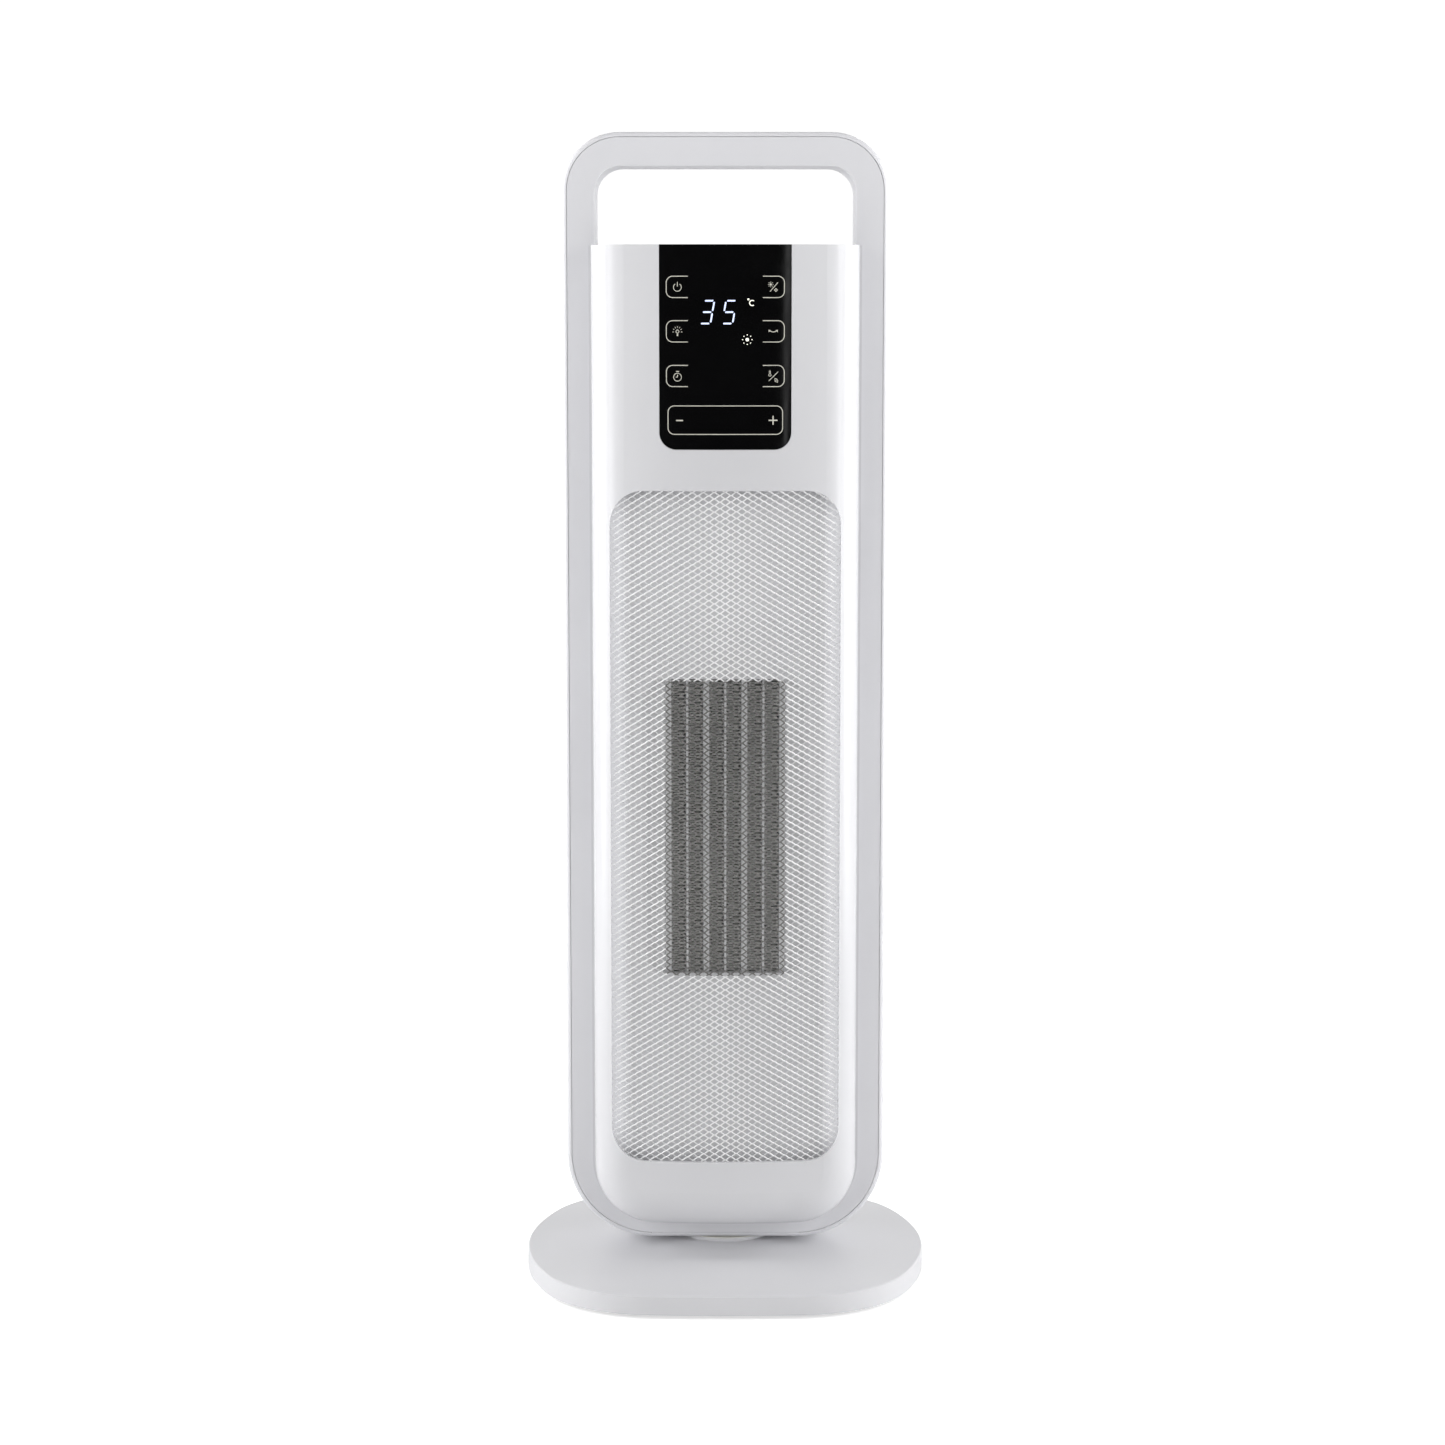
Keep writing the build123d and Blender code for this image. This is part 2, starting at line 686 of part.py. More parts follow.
def make_rear_shell():
    """The rear half of the loop frame in one piece with the bulge that holds the fan."""
    shell = frame_block() & block(-100, 100, 0, frame_half_depth + 1, 0, 700)
    shell += rear_form(0)
    shell -= frame_cavity(-1, frame_half_depth - wall)
    shell -= rear_form(wall)
    for z in rear_screw_heights:
        for x in (-rear_screw_x, rear_screw_x):
            along = Pos(x, 0, z) * Rot(-90, 0, 0)
            shell += along * Pos(0, 0, 11.9) * Cylinder(3.8, 23.7)
            shell -= along * Pos(0, 0, 10) * Cylinder(1.5, 30)
            shell -= along * Pos(0, 0, 24.4) * Cylinder(3.5, 2.0)
    back_of_ledge = rear_face - panel_thickness - 0.1
    ledge = upright(intake_outline(3.5), back_of_ledge - 2.4, rear_face - 1)
    ledge -= upright(intake_outline(-3.5), 20, rear_face + 1)
    ledge -= block(-60, 60, 20, back_of_ledge + 0.01, intake_bottom - 5, hinge_pin_z + 5)
    shell += ledge
    for side in (-1, 1):
        lug_x = side * (intake_half_width + 2.2)
        shell += block(lug_x - 1.6, lug_x + 1.6, 43, rear_face - 0.5, hinge_pin_z - 3, hinge_pin_z + 3)
    shell -= upright(intake_outline(intake_gap), back_of_ledge, rear_face + 1)
    pin_hole = Pos(0, hinge_pin_y, hinge_pin_z) * Rot(0, 90, 0) * Cylinder(hinge_pin_radius + 0.2, 116.6)
    shell -= pin_hole
    shell -= block(-intake_half_width - 0.4, intake_half_width + 0.4, 40, rear_face,
                   intake_bottom - 0.4, hinge_pin_z + 3)
    shell -= block(-7.6, 7.6, 40, rear_face + 1, switch_height - 11.1, switch_height + 11.1)
    return shell - insert_zone(0.15)


def intake_outline(margin):
    """The intake window, or an outline that lies margin outside it."""
    return rounded_panel(intake_half_width + margin, intake_bottom - margin, intake_top + margin,
                         max(intake_corner + margin, 1), max(intake_corner + margin, 1))


def make_intake_panel():
    """The tilt-out intake panel: two columns of slots, a finger notch and two hinge pins."""
    front = rear_face - panel_thickness
    panel = upright(rounded_panel(intake_half_width, intake_bottom, intake_top, 1, intake_corner), front, rear_face)
    rows = int((intake_top - intake_bottom - 30) / slot_pitch)
    first = (intake_bottom + intake_top - (rows - 1) * slot_pitch) / 2
    slots = Sketch()
    for row in range(rows):
        for x in (-26.5, 26.5):
            slots += Pos(x, first + row * slot_pitch) * SlotOverall(48, slot_height)
    panel -= upright(slots, front - 1, rear_face + 1)
    panel -= upright(Pos(0, intake_top) * Circle(9), rear_face - 1.2, rear_face + 1)
    lower = block(-intake_half_width, intake_half_width, front, rear_face, intake_bottom, hinge_pin_z)
    panel -= lower
    reach = hinge_pin_y - front
    round_edge = Pos(0, hinge_pin_y, hinge_pin_z) * Rot(0, 90, 0) * Cylinder(reach, 2 * intake_half_width)
    round_edge &= block(-60, 60, front, rear_face, 90, 120)
    pins = Pos(0, hinge_pin_y, hinge_pin_z) * Rot(0, 90, 0) * Cylinder(hinge_pin_radius, 115.4)
    pins -= block(-intake_half_width + 1, intake_half_width - 1, 40, 50, 90, 120)
    return panel + round_edge + pins


def make_dust_filter():
    """The foam sheet that rides on the inside of the intake panel."""
    front = rear_face - panel_thickness
    outline = rounded_panel(intake_half_width - 4.5, intake_bottom + 9, intake_top - 5, 4, 4)
    return upright(outline, front - 1.8, front)


def make_rear_screws():
    """Six screws that join the two halves of the frame."""
    screws = []
    for z in rear_screw_heights:
        for x in (-rear_screw_x, rear_screw_x):
            head = Pos(0, 0, 24.1) * Cylinder(3.2, 1.2) - Pos(0, 0, 24.6) * Box(4, 0.8, 1.0)
            head -= Pos(0, 0, 24.6) * Box(0.8, 4, 1.0)
            screw = head + Pos(0, 0, 12.5) * Cylinder(1.4, 22.4)
            screws.append(Pos(x, 0, z) * Rot(-90, 0, 0) * screw)
    return screws


def make_switch_housing():
    """The master switch's body, with a bezel on the rear face."""
    z_low = switch_height - 11
    z_high = switch_height + 11
    housing = block(-7.5, 7.5, 28, rear_face, z_low, z_high)
    bezel = rounded_panel(9.5, z_low - 2, z_high + 2, 2, 2)
    housing += upright(bezel, rear_face, rear_face + 1)
    hollow = block(-6.4, 6.4, 34, rear_face + 5, z_low + 1.2, z_high - 1.2)
    housing -= hollow
    return housing - Pos(0, rear_face - 3, switch_height) * Rot(0, 90, 0) * Cylinder(1.3, 14)


def make_power_rocker():
    """The rocker of the master switch, in its off position."""
    pivot = Pos(0, rear_face - 3, switch_height)
    upper = Plane.YZ.offset(-6.1) * make_face(Polyline([(-2, -7.6), (3.2, -8.4), (2.2, 0), (3.2, 8.4), (-2, 7.6)],
                                                       close=True))
    rocker = extrude(upper, amount=12.2)
    rocker += Rot(0, 90, 0) * Cylinder(1.15, 13.8)
    return pivot * Rot(rocker_tilt, 0, 0) * rocker


# ---------------------------------------------------------------- writing the nodes

nodes = {
    "base_cover": make_base_cover,
    "base_plate": make_base_plate,
    "base_ballast": make_base_ballast,
    "base_feet": make_base_feet,
    "base_screws": make_base_screws,
    "cord_grommet": make_cord_grommet,
    "tilt_switch": make_tilt_switch,
    "swivel_washer": make_swivel_washer,
    "fixed_gear": make_fixed_gear,
    "drive_pinion": make_drive_pinion,
    "drive_shaft": make_drive_shaft,
    "swivel_spindle": make_swivel_spindle,
    "spindle_retainer": make_spindle_retainer,
    "spindle_screws": make_spindle_screws,
    "oscillation_motor": make_oscillation_motor,
    "motor_saddle": make_motor_saddle,
    "frame_front": make_frame_front,
    "frame_trim": make_frame_trim,
    "bottom_insert": make_bottom_insert,
    "front_cover": make_front_cover,
    "control_glass": make_control_glass,
    "display_board": make_display_board,
    "led_display": make_led_display,
    "outlet_mesh": make_outlet_mesh,
    "outlet_duct": make_outlet_duct,
    "heater_rails": make_heater_rails,
    "heater_cap_lower": lambda: make_heater_cap(element_bottom - cap_height),
    "heater_cap_upper": lambda: make_heater_cap(element_top),
    "thermal_cutout": make_thermal_cutout,
    "fan_wheel": make_fan_wheel,
    "fan_shaft": make_fan_shaft,
    "fan_housing": make_fan_housing,
    "fan_bearing": make_fan_bearing,
    "fan_motor": make_fan_motor,
    "motor_bracket": make_motor_bracket,
    "power_board": make_power_board,
    "relays": make_relays,
    "terminal_block": make_terminal_block,
    "rear_shell": make_rear_shell,
    "intake_panel": make_intake_panel,
    "dust_filter": make_dust_filter,
    "rear_screws": make_rear_screws,
    "switch_housing": make_switch_housing,
    "power_rocker": make_power_rocker,
}

for number, x in enumerate(fin_places(), start=1):
    nodes[f"fin_bank_{number}"] = lambda x=x: element_column(x, fin_width)

for number, step in enumerate((-1, 0, 1), start=1):
    nodes[f"ceramic_bar_{number}"] = lambda step=step: element_column(module_pitch * step, bar_width)

os.makedirs("parts", exist_ok=True)
for name, maker in nodes.items():
    piece = maker()
    if isinstance(piece, list):
        piece = Compound(children=piece)
    export_step(piece, f"parts/{name}.step")
    print(name, round(piece.volume))
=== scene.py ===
# %% [markdown]
# A ceramic tower heater, dressed for the studio.
#
# The engineering model is already packed: it holds every casing, joint and size. This lesson only adds
# looks. We load that model, put a camera, a floor and lights round it, build the finishes as node
# materials, and make the pieces that CAD leaves plain: the expanded-metal outlet, the corrugated fins, the
# foam filter and the marks on the touch glass. All sizes are in metres, in the same frame as the model.

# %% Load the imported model
import json
import math

import bmesh
import bpy
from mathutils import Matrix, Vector


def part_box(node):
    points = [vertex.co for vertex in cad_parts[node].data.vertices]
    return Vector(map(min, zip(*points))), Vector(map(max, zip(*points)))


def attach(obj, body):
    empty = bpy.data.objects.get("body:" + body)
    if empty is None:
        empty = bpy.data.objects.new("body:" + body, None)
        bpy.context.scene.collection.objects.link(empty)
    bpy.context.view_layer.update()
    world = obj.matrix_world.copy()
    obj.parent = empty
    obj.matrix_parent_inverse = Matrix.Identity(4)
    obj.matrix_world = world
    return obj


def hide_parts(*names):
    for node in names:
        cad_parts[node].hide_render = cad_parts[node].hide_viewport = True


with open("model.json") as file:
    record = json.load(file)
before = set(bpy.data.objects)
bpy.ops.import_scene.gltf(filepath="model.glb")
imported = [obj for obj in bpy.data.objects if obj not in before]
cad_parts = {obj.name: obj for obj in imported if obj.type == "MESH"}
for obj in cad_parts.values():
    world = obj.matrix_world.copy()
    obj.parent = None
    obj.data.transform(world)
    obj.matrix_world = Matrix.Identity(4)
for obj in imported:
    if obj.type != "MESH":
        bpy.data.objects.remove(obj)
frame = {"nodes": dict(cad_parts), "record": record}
nodes = frame["nodes"]
scene = bpy.context.scene
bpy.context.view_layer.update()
MM = 0.001

# %% [markdown]
# A tall product is best seen through a long lens, a little below its top and tilted slightly down, so its
# upright edges stay nearly parallel. The focal length is large and the camera stands well back. The tilt
# shows a little of the top of the base, and nothing of the top of the tower.

# %% Camera
camera_data = bpy.data.cameras.new("studio_camera")
camera = bpy.data.objects.new("studio_camera", camera_data)
scene.collection.objects.link(camera)
scene.camera = camera

CAMERA_TILT = 7.3
CAMERA_PLACE = (-0.00147, -1.7692, 0.5302)
CAMERA_LENS = 81.43
CAMERA_SENSOR = 36
camera_data.sensor_width = CAMERA_SENSOR
camera_data.lens = CAMERA_LENS
camera.location = CAMERA_PLACE
camera.rotation_euler = (math.radians(90 - CAMERA_TILT), 0, 0)
print("camera lens:", camera_data.lens, "mm")

# %% [markdown]
# Nodes are easier to read when a small helper makes the links. `wire` joins an output to an input, and
# takes a plain number or colour where no link is needed. `feed` does so for several inputs of a node, by
# their names. We use them for materials, shader groups and geometry trees.

# %% Node helpers
FLOAT = "NodeSocketFloat"
VECTOR = "NodeSocketVector"


def wire(tree, source, target):
    """Joins source to the input target, or sets target's value where source is a plain value."""
    if isinstance(source, bpy.types.NodeSocket):
        tree.links.new(source, target)
    else:
        target.default_value = source


def math_node(tree, operation, *values):
    """A Math node on up to three sockets or numbers."""
    node = tree.nodes.new("ShaderNodeMath")
    node.operation = operation
    for socket, value in zip(node.inputs, values):
        wire(tree, value, socket)
    return node.outputs[0]


def times(tree, first, second):
    """The product of two sockets or numbers."""
    return math_node(tree, "MULTIPLY", first, second)


def plus(tree, first, second):
    """The sum of two sockets or numbers."""
    return math_node(tree, "ADD", first, second)


def minus(tree, first, second):
    """The first socket or number less the second."""
    return math_node(tree, "SUBTRACT", first, second)


def feed(tree, node, **values):
    """Wires or sets a node's inputs by name, with _ where the name has a space."""
    for name, value in values.items():
        wire(tree, value, node.inputs[name.replace("_", " ")])
    return node


def split_of(tree, vector):
    """One vector as three numbers."""
    return feed(tree, tree.nodes.new("ShaderNodeSeparateXYZ"), Vector=vector).outputs


def add_sockets(tree, direction, sockets):
    """Declares a group's sockets from (name, kind, default value) rows."""
    for name, kind, value in sockets:
        socket = tree.interface.new_socket(name=name, in_out=direction, socket_type=kind)
        if value is not None:
            socket.default_value = value


print("node helpers:", ", ".join(helper.__name__ for helper in (wire, math_node, feed, split_of)))

# %% [markdown]
# The studio is a white room with the lights kept to the sides, so the front of the heater stays a calm grey
# and its shoulders go almost white. The world gives most of that light. Its brightness is a ramp over the
# compass angle, from straight in front of the heater (0) to straight behind it (1), and the first sixteen
# degrees to each side are kept dark like a flag in front of the camera, or the black glass would mirror a
# white wall. The camera itself sees a plain backdrop instead, which the Light Path node switches in.

# %% World light
WORLD_RAMP = ((0.0, 0.012), (0.088, 0.012), (0.125, 0.72), (0.36, 0.77), (0.46, 0.56), (0.56, 0.50),
              (0.66, 0.55))
WORLD_PEAK = 2.0
TOP_LIGHT = 0.06
CEILING_FADE = (0.35, 0.75)
BACKDROP_FADE = (0.55, 0.95)
BACKDROP_BEHIND = 1.03
BACKDROP_ROUND = 0.84


def make_world():
    """A white room: a ramp of light round the compass, a ceiling, and a plain backdrop for the camera."""
    world = bpy.data.worlds.new("white_room")
    world.use_nodes = True
    tree = world.node_tree
    towards = split_of(tree, tree.nodes.new("ShaderNodeTexCoord").outputs["Generated"])
    sideways = math_node(tree, "ABSOLUTE", towards["X"])
    ahead = times(tree, towards["Y"], -1.0)
    compass = math_node(tree, "DIVIDE", math_node(tree, "ARCTAN2", sideways, ahead), math.pi)
    ramp = tree.nodes.new("ShaderNodeValToRGB")
    wire(tree, compass, ramp.inputs["Fac"])
    stops = ramp.color_ramp.elements
    while len(stops) < len(WORLD_RAMP):
        stops.new(0.5)
    for stop, (position, value) in zip(stops, WORLD_RAMP):
        stop.position = position
        stop.color = (value, value, value, 1)
    walls = times(tree, ramp.outputs["Color"], WORLD_PEAK)
    ceiling = smooth_step(tree, towards["Z"], *CEILING_FADE)
    light = blend_of(tree, ceiling, walls, TOP_LIGHT)
    behind = smooth_step(tree, towards["Y"], *BACKDROP_FADE)
    backdrop = blend_of(tree, behind, BACKDROP_ROUND, BACKDROP_BEHIND)
    seen = tree.nodes.new("ShaderNodeLightPath").outputs["Is Camera Ray"]
    feed(tree, tree.nodes["Background"], Strength=blend_of(tree, seen, light, backdrop), Color=(1, 1, 1, 1))
    scene.world = world


def smooth_step(tree, value, low, high):
    """Goes softly from 0 at low to 1 at high."""
    node = tree.nodes.new("ShaderNodeMapRange")
    node.interpolation_type = "SMOOTHSTEP"
    return feed(tree, node, Value=value, From_Min=low, From_Max=high).outputs["Result"]


def blend_of(tree, factor, first, second):
    """A number between first and second."""
    node = tree.nodes.new("ShaderNodeMix")
    wire(tree, factor, node.inputs["Factor"])
    wire(tree, first, node.inputs[2])
    wire(tree, second, node.inputs[3])
    return node.outputs[0]


make_world()
scene.view_settings.view_transform = "Standard"
scene.view_settings.look = "None"
print("world:", scene.world.name)

# %% [markdown]
# Softboxes stand in pairs round the heater, each given by its compass angle from the front. Pairs at the
# sides graze the shoulders of the cover. Area lights are Lambertian panels, so a tall one lights a tall
# object evenly. The overhead one puts a thin bright line on edges that face up and forward, and a very thin
# strip at the right of the camera draws a faint line near the edge of the black glass.

# %% Softboxes
SOFTBOX_REACH = 1.6
SOFTBOX_HEIGHT = 0.55
SOFTBOX_TARGET = (0, 0, 0.35)
SOFTBOXES = (("quarter", 65, (0.4, 1.6), 6.0), ("side", 93, (0.5, 1.6), 15.5))
SINGLE_LIGHTS = (("overhead", (0.0, -0.35, 2.1), (0, 0, 0.3), (1.5, 0.3), 4.8),
                 ("edge_strip", (0.56, -2.15, 0.45), (0.03, -0.05, 0.5), (0.028, 0.5), 0.05))


def add_softbox(name, place, target, size, power):
    """An area light of size (width, height) that looks at target."""
    data = bpy.data.lights.new(name, "AREA")
    data.shape = "RECTANGLE"
    data.size, data.size_y = size
    data.energy = power
    light = bpy.data.objects.new(name, data)
    light.visible_camera = False
    scene.collection.objects.link(light)
    light.location = place
    light.rotation_euler = (Vector(target) - Vector(place)).to_track_quat("-Z", "Y").to_euler()


for name, compass, size, power in SOFTBOXES:
    for side in (-1, 1):
        turn = math.radians(compass) * side
        place = (SOFTBOX_REACH * math.sin(turn), -SOFTBOX_REACH * math.cos(turn), SOFTBOX_HEIGHT)
        add_softbox(f"{name}_{'left' if side < 0 else 'right'}", place, SOFTBOX_TARGET, size, power)
for name, place, target, size, power in SINGLE_LIGHTS:
    add_softbox(name, place, target, size, power)

# %% [markdown]
# The floor is a pale sheet. To the camera it glows a little, as brightly lit paper does, so the contact
# shadow stays soft, but the glow doesn't light the heater from below. Far from the heater it fades out into
# the backdrop, so no view has a hard horizon. It is not part of the heater.

# %% Floor
FLOOR_REACH = 6.0
FLOOR_GLOW = 0.62
FLOOR_FADE = (0.9, 2.4)


def make_floor():
    """A large pale floor that fades out with distance."""
    mesh = bpy.data.meshes.new("floor")
    half = FLOOR_REACH / 2
    corners = [(-half, -half, 0), (half, -half, 0), (half, half, 0), (-half, half, 0)]
    mesh.from_pydata(corners, [], [(0, 1, 2, 3)])
    floor = bpy.data.objects.new("floor", mesh)
    scene.collection.objects.link(floor)
    material = bpy.data.materials.new("pale_floor")
    material.use_nodes = True
    tree = material.node_tree
    surface = tree.nodes["Principled BSDF"]
    seen = tree.nodes.new("ShaderNodeLightPath").outputs["Is Camera Ray"]
    place = tree.nodes.new("ShaderNodeTexCoord").outputs["Object"]
    distance = tree.nodes.new("ShaderNodeVectorMath")
    distance.operation = "LENGTH"
    wire(tree, place, distance.inputs[0])
    fade = smooth_step(tree, distance.outputs["Value"], *FLOOR_FADE)
    feed(tree, surface, Base_Color=(0.86, 0.86, 0.86, 1), Roughness=0.9, Emission_Color=(1, 1, 1, 1),
         Emission_Strength=times(tree, seen, FLOOR_GLOW),
         Alpha=minus(tree, 1.0, fade))
    mesh.materials.append(material)


make_floor()
print("floor reach:", FLOOR_REACH)

# %% [markdown]
# **Shared effects.** Moulded plastic is never one flat colour. Its mould is spark-eroded, so the skin has a
# fine grain, and the melt flows unevenly, so tone and gloss drift slightly over a large panel. Both belong
# in one shader group that every plastic here uses with its own numbers. A group gives out only values, and
# the shader that reads them stays in the material.

# %% Shader group: moulded grain
def start_group(name, inputs, outputs):
    """A new shader group with its input and output nodes."""
    group = bpy.data.node_groups.new(name, "ShaderNodeTree")
    add_sockets(group, "INPUT", inputs)
    add_sockets(group, "OUTPUT", outputs)
    return group, group.nodes.new("NodeGroupInput").outputs, group.nodes.new("NodeGroupOutput").inputs


def noise(tree, vector, scale, detail=2.0, roughness=0.5):
    """A noise texture's value."""
    node = tree.nodes.new("ShaderNodeTexNoise")
    return feed(tree, node, Vector=vector, Scale=scale, Detail=detail, Roughness=roughness).outputs["Fac"]


def between(tree, value, low, high, from_low=0.3, from_high=0.7):
    """Maps value from its usual range to low and high."""
    node = tree.nodes.new("ShaderNodeMapRange")
    feed(tree, node, Value=value, From_Min=from_low, From_Max=from_high, To_Min=low, To_Max=high)
    return node.outputs["Result"]


def make_moulded_grain():
    group, given, result = start_group(
        "moulded_grain",
        [("Vector", VECTOR, None), ("Grain Scale", FLOAT, 1500.0),
         ("Gloss Low", FLOAT, 0.3), ("Gloss High", FLOAT, 0.45)],
        [("Tone", FLOAT, None), ("Roughness", FLOAT, None),
         ("Height", FLOAT, None)])
    cloud = noise(group, given["Vector"], 9.0, 3.0)
    grain = noise(group, given["Vector"], given["Grain Scale"], 1.0)
    wire(group, between(group, cloud, 0.0, 1.0), result["Tone"])
    mixed = math_node(group, "MULTIPLY_ADD", grain, 0.35, times(group, cloud, 0.65))
    wire(group, between(group, mixed, given["Gloss Low"], given["Gloss High"]), result["Roughness"])
    wire(group, grain, result["Height"])
    return group


moulded_grain = make_moulded_grain()
print("group:", moulded_grain.name, len(moulded_grain.nodes), "nodes")

# %% [markdown]
# Edges are painted lighter and creases darker. The lighter edges are partly wear from handling and partly a
# painted highlight, where thin rims would catch the light; the darker creases are partly dust and partly
# painted shade. Both can be found by asking how closed in a point is: the Ambient Occlusion node looks round
# it over a short reach. Outwards, it finds creases. Turned inwards, it finds the places where the material is
# thin, which are the edges. Noise breaks both masks up, because wear and dust are never even. It looks at the
# piece alone, so it stays put when joints move.

# %% Shader group: edge wear and painted highlight, crease dust and painted shade
def closeness(tree, reach, inside):
    """How closed in a point is by its own piece, within reach: 0 open, 1 closed."""
    node = tree.nodes.new("ShaderNodeAmbientOcclusion")
    node.samples = 6
    node.inside = inside
    node.only_local = True
    return minus(tree, 1.0, feed(tree, node, Distance=reach).outputs["AO"])


def make_wear_dust_highlight_shade():
    group, given, result = start_group(
        "wear_dust_highlight_shade",
        [("Vector", VECTOR, None), ("Edge Reach", FLOAT, 0.7 * MM),
         ("Crease Reach", FLOAT, 4.0 * MM), ("Edge Amount", FLOAT, 0.5),
         ("Dust Amount", FLOAT, 0.3)],
        [("Edge", FLOAT, None), ("Dust", FLOAT, None)])
    patches = noise(group, given["Vector"], 60.0, 4.0, 0.6)
    # Wear and painted highlight: edges, where the piece is thin, are marked for a lighter tone.
    worn_edge_sheen = between(group, closeness(group, given["Edge Reach"], True), 0.0, 1.0, 0.15, 0.6)
    worn_edge_sheen = times(group, worn_edge_sheen, between(group, patches, 0.6, 1.0))
    wire(group, times(group, worn_edge_sheen, given["Edge Amount"]), result["Edge"])
    # Dust and painted shade: closed-in creases are marked for a darker tone.
    dusty_crease_shade = between(group, closeness(group, given["Crease Reach"], False), 0.0, 1.0, 0.25, 0.75)
    dusty_crease_shade = times(group, dusty_crease_shade, between(group, patches, 0.3, 1.0))
    wire(group, times(group, dusty_crease_shade, given["Dust Amount"]), result["Dust"])
    return group


wear_dust_highlight_shade = make_wear_dust_highlight_shade()
print("group:", wear_dust_highlight_shade.name)

# %% [markdown]
# Metals are drawn, rolled or turned, which leaves fine parallel lines. Noise stretched along one axis looks
# like them: the coordinates are scaled unevenly before the texture reads them.

# %% Shader group: drawn lines
def make_drawn_lines():
    group, given, result = start_group(
        "drawn_lines",
        [("Vector", VECTOR, None), ("Stretch", VECTOR, (4000.0, 4000.0, 40.0)),
         ("Gloss Low", FLOAT, 0.25), ("Gloss High", FLOAT, 0.5)],
        [("Tone", FLOAT, None), ("Roughness", FLOAT, None),
         ("Height", FLOAT, None)])
    stretch = group.nodes.new("ShaderNodeVectorMath")
    stretch.operation = "MULTIPLY"
    wire(group, given["Vector"], stretch.inputs[0])
    wire(group, given["Stretch"], stretch.inputs[1])
    lines = noise(group, stretch.outputs[0], 1.0, 2.0, 0.6)
    wire(group, between(group, lines, 0.0, 1.0), result["Tone"])
    wire(group, between(group, lines, given["Gloss Low"], given["Gloss High"]), result["Roughness"])
    wire(group, lines, result["Height"])
    return group


drawn_lines = make_drawn_lines()
print("group:", drawn_lines.name)

# %% [markdown]
# ** Finishes.** Every moulded finish is the same recipe: a light and a dark tone mixed by the group's Tone, a touch of edge wear that also paints a highlight, a touch of crease dust that also paints shade, its own gloss range, and a very low bump from the grain. One function builds it, and each plastic is one call with its own colours. Colours are linear values.

# %% Moulded plastics
def use_group(tree, group, **values):
    """Places a shader group in a material and gives its inputs."""
    node = tree.nodes.new("ShaderNodeGroup")
    node.node_tree = group
    return feed(tree, node, **values).outputs


def mix_colour(tree, factor, first, second):
    """Mixes two colours by a factor."""
    node = tree.nodes.new("ShaderNodeMix")
    node.data_type = "RGBA"
    wire(tree, factor, node.inputs["Factor"])
    for value, socket in ((first, node.inputs[6]), (second, node.inputs[7])):
        wire(tree, value if isinstance(value, bpy.types.NodeSocket) else (*value, 1), socket)
    return node.outputs[2]


def add_bump(tree, surface, height, distance):
    """Feeds a height through a Bump node into the shader's Normal."""
    bump = feed(tree, tree.nodes.new("ShaderNodeBump"), Strength=1.0, Distance=distance, Height=height)
    feed(tree, surface, Normal=bump.outputs["Normal"])


def start_material(name):
    """A new material, its tree, its shader and the Object coordinates."""
    material = bpy.data.materials.new(name)
    material.use_nodes = True
    tree = material.node_tree
    place = tree.nodes.new("ShaderNodeTexCoord").outputs["Object"]
    return material, tree, tree.nodes["Principled BSDF"], place


# The dusty tone for creases, which also paints shade into them.
DUST_AND_SHADE_TONE = (0.34, 0.33, 0.31)


def moulded(name, light, dark, gloss, grain=1500.0, bump=0.00001, coat=0.0, worn_edge_sheen=0.35, dust_and_shade=0.25):
    """A moulded plastic: light and dark tones, a gloss range, grain, worn edges with a painted highlight, and
    dusty creases with painted shade.
    """
    material, tree, surface, place = start_material(name)
    skin = use_group(tree, moulded_grain, Vector=place, Grain_Scale=grain, Gloss_Low=gloss[0],
                     Gloss_High=gloss[1])
    wear_and_light_masks = use_group(tree, wear_dust_highlight_shade, Vector=place, Edge_Amount=worn_edge_sheen, Dust_Amount=dust_and_shade)
    tone = mix_colour(tree, skin["Tone"], dark, light)
    # Worn edges get a lighter tone, which also paints a highlight on them, and creases get the dusty tone,
    # which also paints shade into them.
    worn_lit_edge_tone = tuple(min(1.0, 1.12 * c + 0.01) for c in light)
    tone = mix_colour(tree, wear_and_light_masks["Edge"], tone, worn_lit_edge_tone)
    tone = mix_colour(tree, wear_and_light_masks["Dust"], tone, DUST_AND_SHADE_TONE)
    feed(tree, surface, Base_Color=tone, Roughness=skin["Roughness"], Coat_Weight=coat, Coat_Roughness=0.12,
         IOR=1.49)
    add_bump(tree, surface, skin["Height"], bump)
    return material


